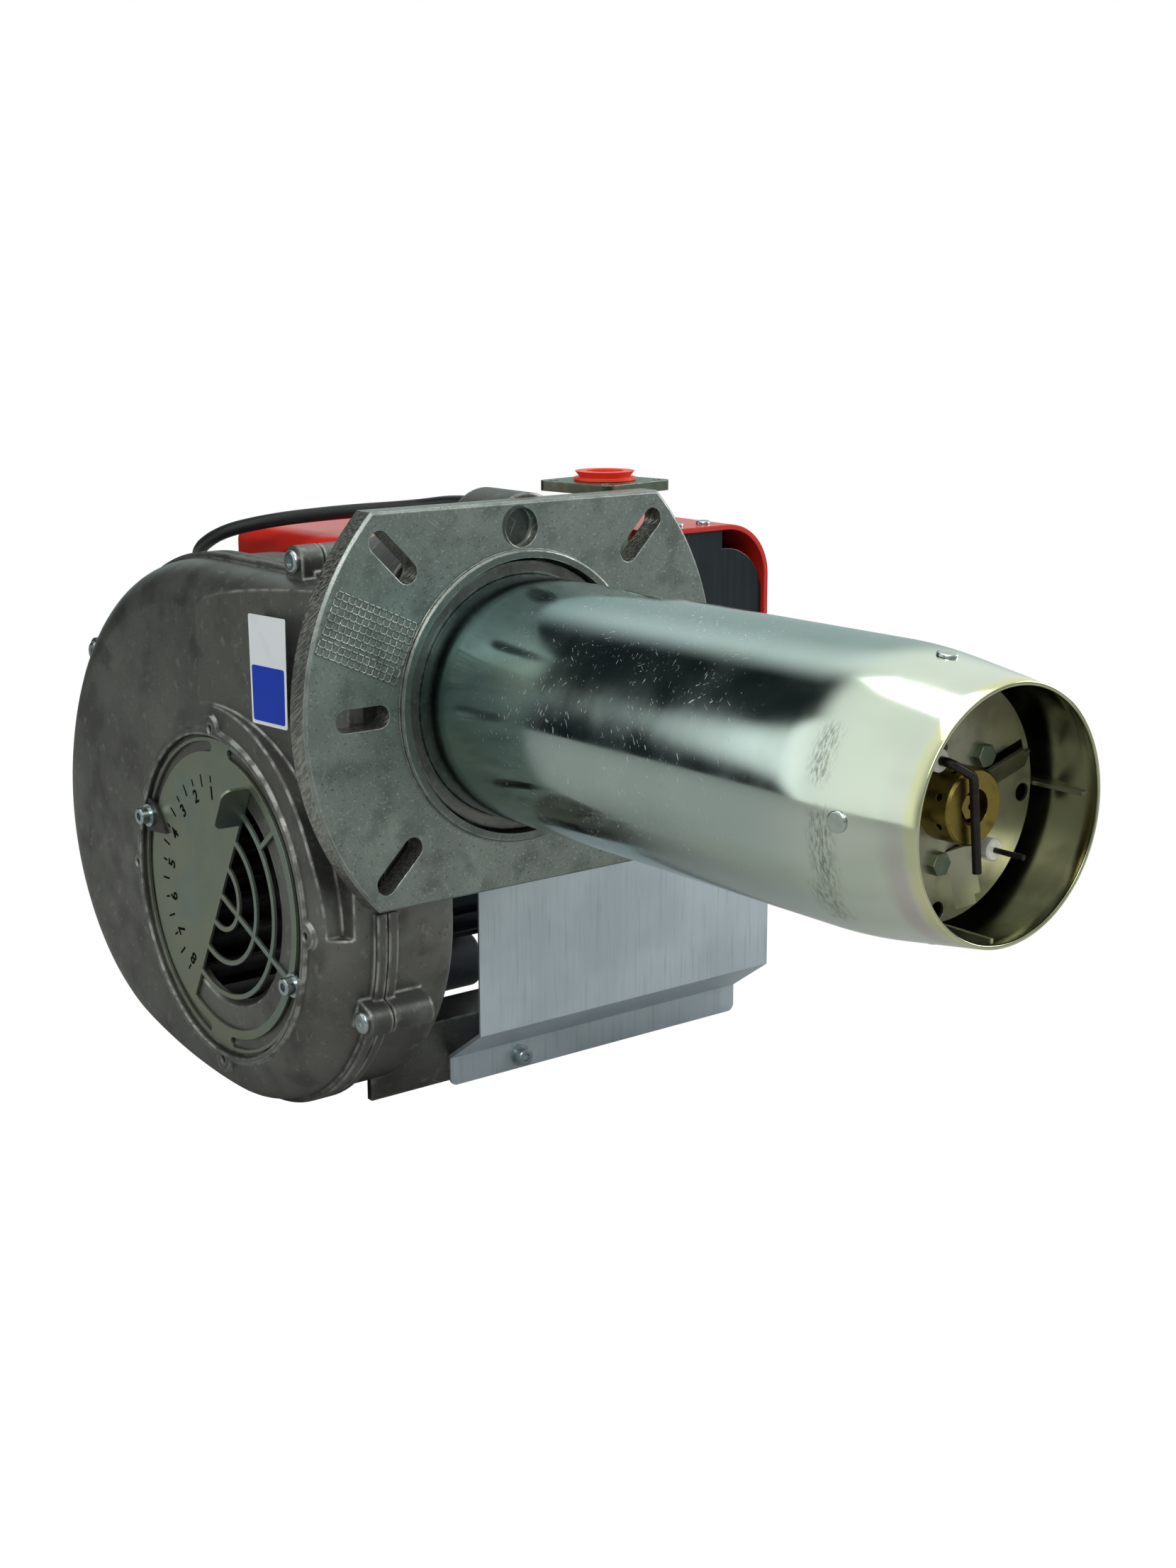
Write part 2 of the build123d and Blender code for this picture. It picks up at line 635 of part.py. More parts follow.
def flange_screws():
    screws = []
    seat = HOUSING_FRONT + HOUSING_WALL
    for x, z in flange_screw_points():
        shank = rod_y(FLANGE_SCREW_R, FLANGE_THICK - FLANGE_SCREW_DEPTH + 0.5, seat, x, z)
        head = rod_y(FLANGE_SCREW_R * 1.7, seat, seat + FLANGE_SCREW_R * 1.8, x, z)
        screws.append(shank + head)
    return Compound(children=screws)


# Blast tube, drawn as a radius in X against Y and turned about Y

def taper_end(inset):
    """Radius and Y where the bend runs into the straight taper."""
    turn = math.radians(TAPER_ANGLE)
    bend = TAPER_BEND - inset
    return (TUBE_R - TAPER_BEND + bend * math.cos(turn), -TAPER_START - bend * math.sin(turn))


def tube_radius(y, inset):
    """The tube's radius at a place on the straight taper, for what sits on it."""
    radius, start = taper_end(inset)
    return radius - (start - y) * math.tan(math.radians(TAPER_ANGLE))


def tube_edges(inset, back, reach):
    radius = TUBE_R - inset
    bend = CenterArc((TUBE_R - TAPER_BEND, -TAPER_START), TAPER_BEND - inset, 0, -TAPER_ANGLE)
    tip = (tube_radius(-reach, inset), -reach)
    return [Line((radius, back), (radius, -TAPER_START)), bend, Line(bend @ 1, tip)]


def tube_solid(inset, back, reach):
    """A solid plug with the tube's shape."""
    edges = tube_edges(inset, back, reach)
    edges.append(Line((tube_radius(-reach, inset), -reach), (0, -reach)))
    edges.append(Line((0, -reach), (0, back)))
    edges.append(Line((0, back), (TUBE_R - inset, back)))
    return revolve(make_face(edges), Axis.Y)


def blast_tube():
    edges = tube_edges(0.0, TUBE_BACK, TUBE_REACH) + tube_edges(TUBE_WALL, TUBE_BACK, TUBE_REACH)
    tips = [(tube_radius(-TUBE_REACH, inset), -TUBE_REACH) for inset in (0.0, TUBE_WALL)]
    edges.append(Line(*tips))
    edges.append(Line((TUBE_R, TUBE_BACK), (TUBE_R - TUBE_WALL, TUBE_BACK)))
    return revolve(make_face(edges), Axis.Y)


def tube_rivets():
    rivets = []
    for turn in range(4):
        head = Cylinder(RIVET_R, RIVET_HEIGHT, align=(Align.CENTER, Align.CENTER, Align.MIN))
        head = fillet(head.edges().sort_by(Axis.Z)[-1], RIVET_HEIGHT * 0.7)
        seat = Pos(tube_radius(RIVET_Y, 0.0) + 0.02, RIVET_Y, 0) * Rot(0, 0, -TAPER_ANGLE) * Rot(0, 90, 0)
        rivets.append(Rot(0, 90.0 * turn, 0) * seat * head)
    return Compound(children=rivets)


def tube_guides():
    bore = tube_solid(TUBE_WALL + 0.02, TUBE_BACK, TUBE_REACH + 1.0)
    front = -TUBE_REACH + GUIDE_INSET
    guides = []
    for turn in range(4):
        fin = block(GUIDE_TIP_R, TUBE_R, front, front + GUIDE_LENGTH, -GUIDE_THICK / 2, GUIDE_THICK / 2)
        guides.append(Rot(0, 90.0 * turn, 0) * fin & bore)
    return Compound(children=[guide.solid() for guide in guides])


# Air damper

def ring_slot(radius, width, start, end):
    """A slot along an arc on the intake's face, in Y and Z."""
    middle = (start + end) / 2
    a, m, b = (on_intake(angle, radius) for angle in (start, middle, end))
    return SlotArc(ThreePointArc(a, m, b), width)


def air_damper():
    face_x = RECESS_FLOOR_X - DAMPER_GAP - DAMPER_THICK
    centre = Pos(FAN_Y, FAN_Z)
    far = 2 * DAMPER_R
    half = Pos(0, -far / 2) * Rectangle(2 * far, far)
    window = centre * (Circle(DAMPER_RING_R) & Rot(0, 0, 180.0 - DAMPER_SOLID_TURN) * Rot(0, 0, 180.0) * half)
    ribs = Sketch()
    for radius in DAMPER_RIBS:
        ribs += centre * (Circle(radius + DAMPER_RIB_WIDTH / 2) - Circle(radius - DAMPER_RIB_WIDTH / 2))
    for angle, start in ((-24.0, 0.0), (39.0, DAMPER_RIBS[-1])):
        length = DAMPER_RING_R + 1.0 - start
        spoke = Pos(start + length / 2, 0) * Rectangle(length, DAMPER_RIB_WIDTH)
        ribs += centre * Rot(0, 0, 180.0 - angle) * spoke
    disc = centre * Circle(DAMPER_R) - (window - ribs)
    disc = disc - ring_slot(DAMPER_SLOT_R, DAMPER_SLOT_WIDTH, *DAMPER_SLOT_A)
    disc = disc - ring_slot(DAMPER_SLOT_R, DAMPER_SLOT_WIDTH, *DAMPER_SLOT_B)
    plate = side_extrude(disc, face_x, face_x + DAMPER_THICK)
    tab = block(face_x - TAB_HEIGHT, face_x + DAMPER_THICK, TAB_INNER_R, TAB_OUTER_R, -DAMPER_THICK, 0.0)
    corners = tab.edges().filter_by(Axis.Z).sort_by(Axis.X)[:2]
    tab = fillet(corners, min(5.0, (TAB_OUTER_R - TAB_INNER_R) / 3))
    return plate + Pos(0, FAN_Y, FAN_Z) * Rot(180.0 - DAMPER_SOLID_TURN, 0, 0) * tab


def damper_screw_points():
    return [on_intake(DAMPER_SCREW_ANGLE + side, DAMPER_SLOT_R) for side in (0.0, 180.0)]


def damper_stack(layers):
    """X of a face on the damper, past so many layers that are clamped to it."""
    face = RECESS_FLOOR_X - DAMPER_GAP - DAMPER_THICK - DAMPER_GAP
    return face - layers * POINTER_THICK


def damper_screws():
    screws = []
    for index, (y, z) in enumerate(damper_screw_points()):
        seat = damper_stack(1 - index)
        top = seat - WASHER_THICK
        washer = rod_x(WASHER_R, top, seat, y, z)
        head = rod_x(DAMPER_HEAD_R, top - DAMPER_HEAD_HEIGHT, top, y, z)
        head = chamfer(head.edges().sort_by(Axis.X)[0], 0.5)
        entry = Pos(top - DAMPER_HEAD_HEIGHT - 1.0, y, z) * Rot(0, 90, 0)
        socket = entry * extrude(RegularPolygon(DAMPER_HEAD_R * 0.55, 6), 1.0 + DAMPER_HEAD_HEIGHT * 0.5)
        shank = rod_x(DAMPER_SCREW_R, seat, RECESS_FLOOR_X + DAMPER_SCREW_DEPTH - 0.5, y, z)
        screws.append(washer + head + shank - socket)
    return Compound(children=screws)


def damper_pointer():
    base = DAMPER_SLOT_R + POINTER_HALF_WIDTH / 2
    wing = base - POINTER_HALF_WIDTH * 0.7
    side = POINTER_HALF_WIDTH
    points = [(base, 0.8 - side), (base, side - 0.8), (wing, side), (POINTER_TIP_R, 0.0), (wing, -side)]
    shape = make_face(Polyline(*points, close=True))
    shape = shape - Pos(DAMPER_SLOT_R, 0) * Circle(DAMPER_SCREW_R + CLEAR)
    shape = Pos(FAN_Y, FAN_Z) * Rot(0, 0, 180.0 - DAMPER_SCREW_ANGLE) * shape
    return side_extrude(shape, damper_stack(1), damper_stack(0))


# Fan and motor

def fan_back():
    return BACK_X - HOUSING_WALL - FAN_GAP


def fan_wheel():
    back = fan_back()
    mouth = back - FAN_WIDTH
    plate = rod_x(FAN_R, back - FAN_PLATE_THICK, back) - rod_x(HUB_NECK_R, back - 5.0, back + 1.0)
    ring = rod_x(FAN_R, mouth, mouth + FAN_PLATE_THICK)
    ring = ring - rod_x(FAN_R - BLADE_DEPTH, mouth - 1.0, mouth + FAN_PLATE_THICK + 1.0)
    inner = FAN_R - BLADE_DEPTH + 0.5
    outer = FAN_R - 0.4
    middle = 0.5 * (inner + outer)
    bow = (middle * math.cos(BLADE_SWEEP / 2), -middle * math.sin(BLADE_SWEEP / 2))
    tip = (outer * math.cos(BLADE_SWEEP), outer * math.sin(BLADE_SWEEP))
    blade = side_extrude(SlotArc(ThreePointArc((inner, 0), bow, tip), BLADE_THICK), mouth + 0.5, back - 0.5)
    wheel = plate + ring + [Rot(360.0 * turn / FAN_BLADES, 0, 0) * blade for turn in range(FAN_BLADES)]
    return Pos(0, FAN_Y, FAN_Z) * wheel


def fan_hub():
    seat = fan_back() - FAN_PLATE_THICK
    hub = rod_x(HUB_R, seat - HUB_LENGTH, seat) + rod_x(HUB_NECK_R, seat - 1.0, seat + FAN_PLATE_THICK)
    hub = hub - rod_x(SHAFT_R, seat - HUB_LENGTH - 1.0, seat + FAN_PLATE_THICK + 1.0)
    hub = hub - rod_z(2.0, 0.0, HUB_R + 1.0, seat - HUB_LENGTH / 2)
    return Pos(0, FAN_Y, FAN_Z) * hub


def motor_shaft():
    start = fan_back() - FAN_PLATE_THICK - HUB_LENGTH - 2.0
    end = BACK_X + MOTOR_FRONT_THICK + MOTOR_LENGTH + 4.0
    shaft = rod_x(SHAFT_R, start, end, FAN_Y, FAN_Z)
    return chamfer(shaft.edges().sort_by(Axis.X)[0], 0.8)


def motor_rotor():
    start = BACK_X + MOTOR_FRONT_THICK + 14.0
    core = rod_x(ROTOR_R, start, start + ROTOR_LENGTH, FAN_Y, FAN_Z)
    return core - rod_x(SHAFT_R, start - 1.0, start + ROTOR_LENGTH + 1.0, FAN_Y, FAN_Z)


def motor_lug_points():
    points = []
    for turn in range(4):
        angle = math.radians(90.0 * turn)
        points.append((FAN_Y + MOTOR_LUG_RING * math.cos(angle), FAN_Z + MOTOR_LUG_RING * math.sin(angle)))
    return points


def motor_front_shield():
    x0 = BACK_X
    x1 = BACK_X + MOTOR_FRONT_THICK
    shield = rod_x(MOTOR_R + 1.0, x0, x1, FAN_Y, FAN_Z)
    shield = shield + [rod_x(MOTOR_LUG_R, x0, x1, y, z) for y, z in motor_lug_points()]
    shield = shield - [rod_x(MOTOR_SCREW_R + CLEAR, x0 - 1, x1 + 1, y, z) for y, z in motor_lug_points()]
    shield = shield - rod_x(SHAFT_R + 1.0, x0 - 1, x1 + 1, FAN_Y, FAN_Z)
    return shield - rod_x(BEARING_R + RUNNING, x1 - BEARING_WIDTH, x1 + 1, FAN_Y, FAN_Z)


def motor_screws():
    screws = []
    x1 = BACK_X + MOTOR_FRONT_THICK
    for y, z in motor_lug_points():
        head = Pos(x1, y, z) * Rot(0, 90, 0) * extrude(RegularPolygon(MOTOR_SCREW_R * 1.75, 6), 3.6)
        screws.append(rod_x(MOTOR_SCREW_R, BACK_X, x1, y, z) + head)
    return Compound(children=screws)


def motor_stator():
    x0 = BACK_X + MOTOR_FRONT_THICK
    profile = Circle(MOTOR_R - FIN_HEIGHT)
    fins = Sketch()
    for turn in range(MOTOR_FINS):
        fin = Pos(MOTOR_R - FIN_HEIGHT, 0) * Rectangle(2 * FIN_HEIGHT, FIN_THICK)
        fins += Rot(0, 0, 360.0 * (turn + 0.5) / MOTOR_FINS) * fin
    profile = profile + fins - Circle(ROTOR_R + 1.0)
    return side_extrude(Pos(FAN_Y, FAN_Z) * profile, x0, x0 + MOTOR_LENGTH - SHIELD_THICK)


def motor_rear_shield():
    x0 = BACK_X + MOTOR_FRONT_THICK + MOTOR_LENGTH - SHIELD_THICK
    x1 = x0 + SHIELD_THICK
    cap = rod_x(MOTOR_R, x0, x1, FAN_Y, FAN_Z)
    cap = fillet(cap.edges().sort_by(Axis.X)[-1], SHIELD_THICK * 0.45)
    cap = cap + rod_x(BEARING_R + 4.0, x1 - 1.0, x1 + 6.0, FAN_Y, FAN_Z)
    return cap - rod_x(BEARING_R + RUNNING, x0 - 1.0, x1 + 4.2, FAN_Y, FAN_Z)


def motor_bearings():
    bearings = []
    front = BACK_X + MOTOR_FRONT_THICK - BEARING_WIDTH
    rear = BACK_X + MOTOR_FRONT_THICK + MOTOR_LENGTH - BEARING_WIDTH + 1.0
    for x in (front, rear):
        ring = rod_x(BEARING_R, x, x + BEARING_WIDTH - 0.5, FAN_Y, FAN_Z)
        bearings.append(ring - rod_x(SHAFT_R + RUNNING, x - 1, x + BEARING_WIDTH, FAN_Y, FAN_Z))
    return Compound(children=bearings)


def capacitor_axis():
    """Y and Z of the can's axis, below the motor and a little behind its middle."""
    return (FAN_Y + CAPACITOR_SHIFT, FAN_Z - MOTOR_R - CAPACITOR_R - CAPACITOR_GAP)


def motor_capacitor():
    y, z = capacitor_axis()
    x0 = BACK_X + MOTOR_FRONT_THICK + 14.0
    can = rod_x(CAPACITOR_R, x0, x0 + CAPACITOR_LENGTH, y, z)
    can = fillet(can.edges(), 2.0)
    return can + rod_x(5.0, x0 + CAPACITOR_LENGTH - 1, x0 + CAPACITOR_LENGTH + 7.0, y, z)


def capacitor_clip():
    y, z = capacitor_axis()
    x0 = BACK_X + MOTOR_FRONT_THICK + 20.0
    x1 = x0 + CLIP_WIDTH
    ring = rod_x(CAPACITOR_R + 1.6, x0, x1, y, z)
    clip = ring + block(x0, x1, y - CLIP_HALF, y + CLIP_HALF, z + 4.0, FAN_Z - MOTOR_R + 8.0)
    clip = clip - rod_x(CAPACITOR_R + 0.1, x0 - 1, x1 + 1, y, z)
    return clip - rod_x(MOTOR_R + 0.1, x0 - 1, x1 + 1, FAN_Y, FAN_Z)


# Sheet metal

def heat_shield():
    front = block(SHIELD_LEFT, SHIELD_RIGHT, SHIELD_Y, SHIELD_Y + SHEET, SHIELD_FOLD_Z, SHIELD_TOP)
    corner = front.edges().filter_by(Axis.Y).sort_by(lambda e: -e.center().X - e.center().Z)[0]
    front = fillet(corner, 3.0)
    front = front - rod_y(CUTOUT_R, SHIELD_Y - 1.0, SHIELD_Y + SHEET + 1.0)
    slope = math.atan2(SHIELD_FOLD_Z - LIP_TOP, LIP_Y - SHIELD_Y)
    drop = SHEET / math.cos(slope) + SHEET * math.tan(slope)
    points = [(SHIELD_Y, SHIELD_FOLD_Z), (LIP_Y, LIP_TOP), (LIP_Y, FOOT_BOTTOM), (LIP_Y + SHEET, FOOT_BOTTOM)]
    points += [(LIP_Y + SHEET, LIP_TOP - SHEET * math.tan(slope) + drop), (SHIELD_Y, SHIELD_FOLD_Z + drop)]
    web = side_extrude(make_face(Polyline(*points, close=True)), SHIELD_LEFT, SHIELD_RIGHT)
    lip_corners = web.edges().filter_by(Axis.Y).group_by(Axis.Z)[0]
    web = fillet(lip_corners, LIP_CORNER)
    sheet = front + web
    return sheet - rod_y(LIP_SCREW_R + CLEAR, LIP_Y - 1.0, LIP_Y + SHEET + 1.0, LIP_SCREW_X, LIP_SCREW_Z)


def lip_screw():
    seat = LIP_Y - WASHER_THICK
    head = rod_y(LIP_SCREW_R * 1.7, seat - LIP_SCREW_R * 2, seat, LIP_SCREW_X, LIP_SCREW_Z)
    head = chamfer(head.edges().sort_by(Axis.Y)[0], 0.5)
    washer = rod_y(LIP_SCREW_R * 2.1, seat, LIP_Y, LIP_SCREW_X, LIP_SCREW_Z)
    shank = rod_y(LIP_SCREW_R, LIP_Y, LIP_Y + SHEET + ARM_WALL + 4.0, LIP_SCREW_X, LIP_SCREW_Z)
    socket = front_extrude(Pos(LIP_SCREW_X, LIP_SCREW_Z) * RegularPolygon(LIP_SCREW_R * 0.95, 6),
                           seat - LIP_SCREW_R * 2 - 1.0, seat - LIP_SCREW_R)
    return head + washer + shank - socket


def hood_bracket():
    left = HOOD_STEP_X + HOOD_WALL + SLIDE
    right = HOOD_RIGHT - HOOD_WALL - SLIDE
    front = SHIELD_Y + SHEET
    top = HOOD_TOP - HOOD_WALL - BRACKET_DROP
    face = block(left, right, front, front + SHEET, SHIELD_TOP - BRACKET_OVERLAP, top)
    corner = face.edges().filter_by(Axis.Y).sort_by(lambda e: -e.center().X - e.center().Z)[0]
    face = fillet(corner, HOOD_RIGHT_CORNER - HOOD_WALL)
    tab_left = HOOD_STEP_X + 20.0
    tab_right = tab_left + TAB_WIDTH
    under = HOOD_TOP - HOOD_WALL
    riser = block(tab_left, tab_right, front, front + SHEET, top - 1.0, under)
    shelf = block(tab_left, tab_right, front, front + 14.0, under - SHEET, under)
    bracket = face + riser + shelf
    for x, y in hood_screw_points():
        bracket = bracket - rod_z(HOOD_SCREW_R + CLEAR, under - SHEET - 1.0, under + 1.0, x, y)
    return bracket


def component_tray():
    left = HOOD_LEFT + HOOD_WALL + SLIDE
    right = HOOD_RIGHT - HOOD_WALL - SLIDE
    rear = HOOD_REAR - HOOD_WALL - SLIDE
    floor_z = HOOD_BOTTOM - SHEET
    floor = block(left, right, HOOD_STEP_Y + HOOD_WALL + SLIDE, rear, floor_z, HOOD_BOTTOM)
    floor = floor + block(HOOD_STEP_X + HOOD_WALL + SLIDE, right, SHIELD_Y + 2 * SHEET, HOOD_STEP_Y + 4.0,
                          floor_z, HOOD_BOTTOM)
    return floor + block(left, right, rear - SHEET, rear, floor_z, HOOD_BOTTOM + 12.0)


def tray_posts():
    """Two stand-offs that carry the tray on the motor's stator."""
    posts = []
    for x in (BACK_X + 24.0, BACK_X + 60.0):
        post = rod_z(POST_R, FAN_Z + MOTOR_R - 6.0, HOOD_BOTTOM - SHEET, x, FAN_Y)
        posts.append(post - rod_x(MOTOR_R + 0.02, x - 8.0, x + 8.0, FAN_Y, FAN_Z))
    return Compound(children=posts)


def hood_profile(inset):
    """The hood's cross-section in X and Z."""
    left = HOOD_LEFT + inset
    right = HOOD_RIGHT - inset
    top = HOOD_TOP - inset
    face = Pos((left + right) / 2, (top + HOOD_BOTTOM) / 2) * Rectangle(right - left, top - HOOD_BOTTOM)
    upper = face.vertices().group_by(Axis.Y)[-1].sort_by(Axis.X)
    face = fillet(upper[0], max(HOOD_LEFT_CORNER - inset, 1.0))
    upper = face.vertices().group_by(Axis.X)[-1].sort_by(Axis.Y)
    return fillet(upper[-1], max(HOOD_RIGHT_CORNER - inset, 1.0))


def front_hood_profile(inset):
    left = HOOD_STEP_X + inset
    far = HOOD_RIGHT + 20.0
    return hood_profile(inset) & Pos((left + far) / 2, 0) * Rectangle(far - left, 4 * HOOD_TOP)


def hood_screw_points():
    tab_left = HOOD_STEP_X + 20.0
    y = SHIELD_Y + SHEET + 8.0
    return [(tab_left + 6.0, y), (tab_left + TAB_WIDTH - 6.0, y)]


def hood():
    outer = front_extrude(hood_profile(0.0), HOOD_STEP_Y, HOOD_REAR)
    rear_edges = outer.faces().sort_by(Axis.Y)[-1].edges().filter_by(lambda e: e.center().Z > HOOD_BOTTOM + 1.0)
    outer = fillet(rear_edges, HOOD_REAR_EDGE)
    outer = outer + front_extrude(front_hood_profile(0.0), HOOD_FRONT, HOOD_STEP_Y + 1.0)
    inner = front_extrude(hood_profile(HOOD_WALL), HOOD_STEP_Y + HOOD_WALL, HOOD_REAR - HOOD_WALL)
    inner = inner + front_extrude(front_hood_profile(HOOD_WALL), HOOD_FRONT - 1.0, HOOD_STEP_Y + HOOD_WALL + 1.0)
    cover = outer - inner
    opening = Pos(SOCKET_X, SOCKET_Z) * Rectangle(SOCKET_WIDTH + 2 * SLIDE, SOCKET_HEIGHT + 2 * SLIDE)
    cover = cover - front_extrude(opening, HOOD_REAR - 10.0, HOOD_REAR + 5.0)
    cover = cover - rod_x(BUTTON_R + SLIDE, HOOD_RIGHT - 10, HOOD_RIGHT + 5, BUTTON_Y, BUTTON_Z)
    cover = cover - rod_y(GROMMET_R, HOOD_REAR - 10, HOOD_REAR + 5, LEAD_X, LEAD_OUT_Z)
    cover = cover - rod_y(KNOB_R, HOOD_STEP_Y - 5, HOOD_STEP_Y + 10)
    for x, y in hood_screw_points():
        cover = cover - rod_z(HOOD_SCREW_R + CLEAR, HOOD_TOP - HOOD_WALL - 1.0, HOOD_TOP + 1.0, x, y)
    return cover


def hood_screws():
    screws = []
    for x, y in hood_screw_points():
        head = rod_z(HOOD_SCREW_R * 2, HOOD_TOP, HOOD_TOP + HOOD_SCREW_R, x, y)
        head = fillet(head.edges().sort_by(Axis.Z)[-1], HOOD_SCREW_R * 0.6)
        screws.append(head + rod_z(HOOD_SCREW_R, HOOD_TOP - HOOD_WALL - 6.0, HOOD_TOP, x, y))
    return Compound(children=screws)


# Electrical parts on the tray

def control_box():
    x0, x1 = CONTROL_X
    y0, y1 = CONTROL_Y
    base = block(x0, x1, y0, y1, HOOD_BOTTOM, HOOD_BOTTOM + 16.0)
    lid = block(x0 + 1.5, x1 - 1.5, y0 + 1.5, y1 - 1.5, HOOD_BOTTOM + 15.0, HOOD_BOTTOM + CONTROL_HEIGHT)
    lid = fillet(lid.edges().filter_by(Axis.Z), 5.0)
    return base + lid - rod_x(BUTTON_R + SLIDE, x1 - BUTTON_WELL, x1 + 5.0, BUTTON_Y, BUTTON_Z)


def reset_button():
    start = CONTROL_X[1] - BUTTON_WELL + BUTTON_TRAVEL + SLIDE
    button = rod_x(BUTTON_R, start, HOOD_RIGHT + BUTTON_TRAVEL + 1.0, BUTTON_Y, BUTTON_Z)
    return fillet(button.edges().sort_by(Axis.X)[-1], 1.5)


def ignition_transformer():
    y0, y1 = TRANSFORMER_Y
    body = block(LEAD_X - TRANSFORMER_WIDTH / 2, LEAD_X + TRANSFORMER_WIDTH / 2, y0, y1, HOOD_BOTTOM,
                 HOOD_BOTTOM + TRANSFORMER_HEIGHT)
    body = fillet(body.edges().filter_by(Axis.Z), 4.0)
    return body + rod_y(LEAD_R + 3.0, y1 - 1.0, y1 + TERMINAL_LENGTH, LEAD_X, LEAD_OUT_Z)


def pressure_switch():
    x, y = SWITCH_X, SWITCH_Y
    top = HOOD_BOTTOM + SWITCH_HEIGHT
    body = rod_z(SWITCH_R, HOOD_BOTTOM, top - 16.0, x, y)
    body = fillet(body.edges().sort_by(Axis.Z)[-1], 3.0)
    body = body + block(x - 17, x + 17, y - 17, y + 17, top - 18.0, top)
    body = body + rod_y(3.0, y - SWITCH_R - 8.0, y - SWITCH_R + 2.0, x, HOOD_BOTTOM + 10.0)
    return body - rod_z(DIAL_R + SLIDE, top - 3.0, top + 1.0, x, y)


def pressure_dial():
    base = HOOD_BOTTOM + SWITCH_HEIGHT - 3.0 + SLIDE
    dial = rod_z(DIAL_R, base, base + DIAL_HEIGHT, SWITCH_X, SWITCH_Y)
    top = base + DIAL_HEIGHT
    return dial - block(SWITCH_X - 6.0, SWITCH_X + 6.0, SWITCH_Y - 0.6, SWITCH_Y + 0.6, top - 1.5, top + 1.0)


def plug_socket():
    x0 = SOCKET_X - SOCKET_WIDTH / 2
    x1 = SOCKET_X + SOCKET_WIDTH / 2
    z0 = SOCKET_Z - SOCKET_HEIGHT / 2
    z1 = SOCKET_Z + SOCKET_HEIGHT / 2
    back = HOOD_REAR + 6.0
    body = block(x0, x1, back - 28.0, back, z0, z1)
    body = body - block(x0 + 2.5, x1 - 2.5, back - 14.0, back + 1.0, z0 + 2.5, z1 - 2.5)
    pitch = (SOCKET_WIDTH - 5.0) / SOCKET_POLES
    for index in range(SOCKET_POLES):
        x = SOCKET_X + (index - (SOCKET_POLES - 1) / 2) * pitch
        body = body + block(x - 0.4, x + 0.4, back - 15.0, back - 4.0, SOCKET_Z - 3.0, SOCKET_Z + 3.0)
    return body + block(x0, x1, back - 28.0, back - 22.0, HOOD_BOTTOM, z0 + 1.0)


# Gas line

def gas_plate_holes():
    turns = [math.radians(45.0 + 90.0 * turn + GAS_TURN) for turn in range(4)]
    return [(GAS_X + GAS_BOLT_RING * math.cos(t), GAS_Y + GAS_BOLT_RING * math.sin(t)) for t in turns]


def gas_inlet_plate():
    plate = Rot(0, 0, GAS_TURN) * Box(GAS_PLATE, GAS_PLATE, GAS_PLATE_THICK)
    plate = fillet(plate.edges().filter_by(Axis.Z), 5.0)
    plate = Pos(GAS_X, GAS_Y, GAS_TOP - GAS_PLATE_THICK / 2) * plate
    plate = plate - rod_z(GAS_PIPE_R, GAS_TOP - GAS_PLATE_THICK - 1, GAS_TOP + 1, GAS_X, GAS_Y)
    for x, y in gas_plate_holes():
        plate = plate - rod_z(GAS_BOLT_HOLE_R, GAS_TOP - GAS_PLATE_THICK - 1, GAS_TOP + 1, x, y)
    return plate


def gas_pipe():
    pipe = rod_z(GAS_PIPE_R, GAS_PIPE_BOTTOM, GAS_TOP, GAS_X, GAS_Y)
    return pipe - rod_z(GAS_PIPE_BORE_R, GAS_PIPE_BOTTOM - 1.0, GAS_TOP + 1.0, GAS_X, GAS_Y)


def gas_elbow():
    body = rod_z(ELBOW_R, ELBOW_BOTTOM, ELBOW_TOP, GAS_X, GAS_Y)
    body = fillet(body.edges().sort_by(Axis.Z)[0], 3.0)
    body = body + block(PAD_X, PAD_X + ELBOW_FLANGE_THICK, *PAD_Y, *PAD_Z)
    body = body + rod_x(BRANCH_R + 1.0, PAD_X, GAS_X, GAS_Y, 0)
    body = body - rod_z(GAS_PIPE_R, GAS_PIPE_BOTTOM, ELBOW_TOP + 1.0, GAS_X, GAS_Y)
    body = body - rod_z(GAS_PIPE_BORE_R, ELBOW_BOTTOM + 4.0, GAS_PIPE_BOTTOM + 1.0, GAS_X, GAS_Y)
    body = body - rod_x(BRANCH_BORE_R, PAD_X - 1.0, GAS_X, GAS_Y, 0)
    for y, z in pad_screw_points():
        body = body - rod_x(PAD_SCREW_R + CLEAR, PAD_X - 1.0, PAD_X + ELBOW_FLANGE_THICK + 1.0, y, z)
    return body


def elbow_screws():
    screws = []
    seat = PAD_X + ELBOW_FLANGE_THICK
    for y, z in pad_screw_points():
        head = rod_x(PAD_SCREW_R * 1.7, seat, seat + PAD_SCREW_R * 1.2, y, z)
        screws.append(head + rod_x(PAD_SCREW_R, PAD_X - PAD_SCREW_DEPTH + 0.5, seat, y, z))
    return Compound(children=screws)


def gas_manifold():
    back = CHAMBER_BACK
    sleeve = rod_y(MANIFOLD_R, MANIFOLD_FRONT, back)
    sleeve = sleeve + rod_x(BRANCH_R, 0.0, PAD_X, GAS_Y, 0)
    sleeve = sleeve - rod_x(BRANCH_BORE_R, 0.0, PAD_X + 1.0, GAS_Y, 0)
    return sleeve - rod_y(GAS_TUBE_R + RUNNING, MANIFOLD_FRONT - 1.0, back + 1.0)


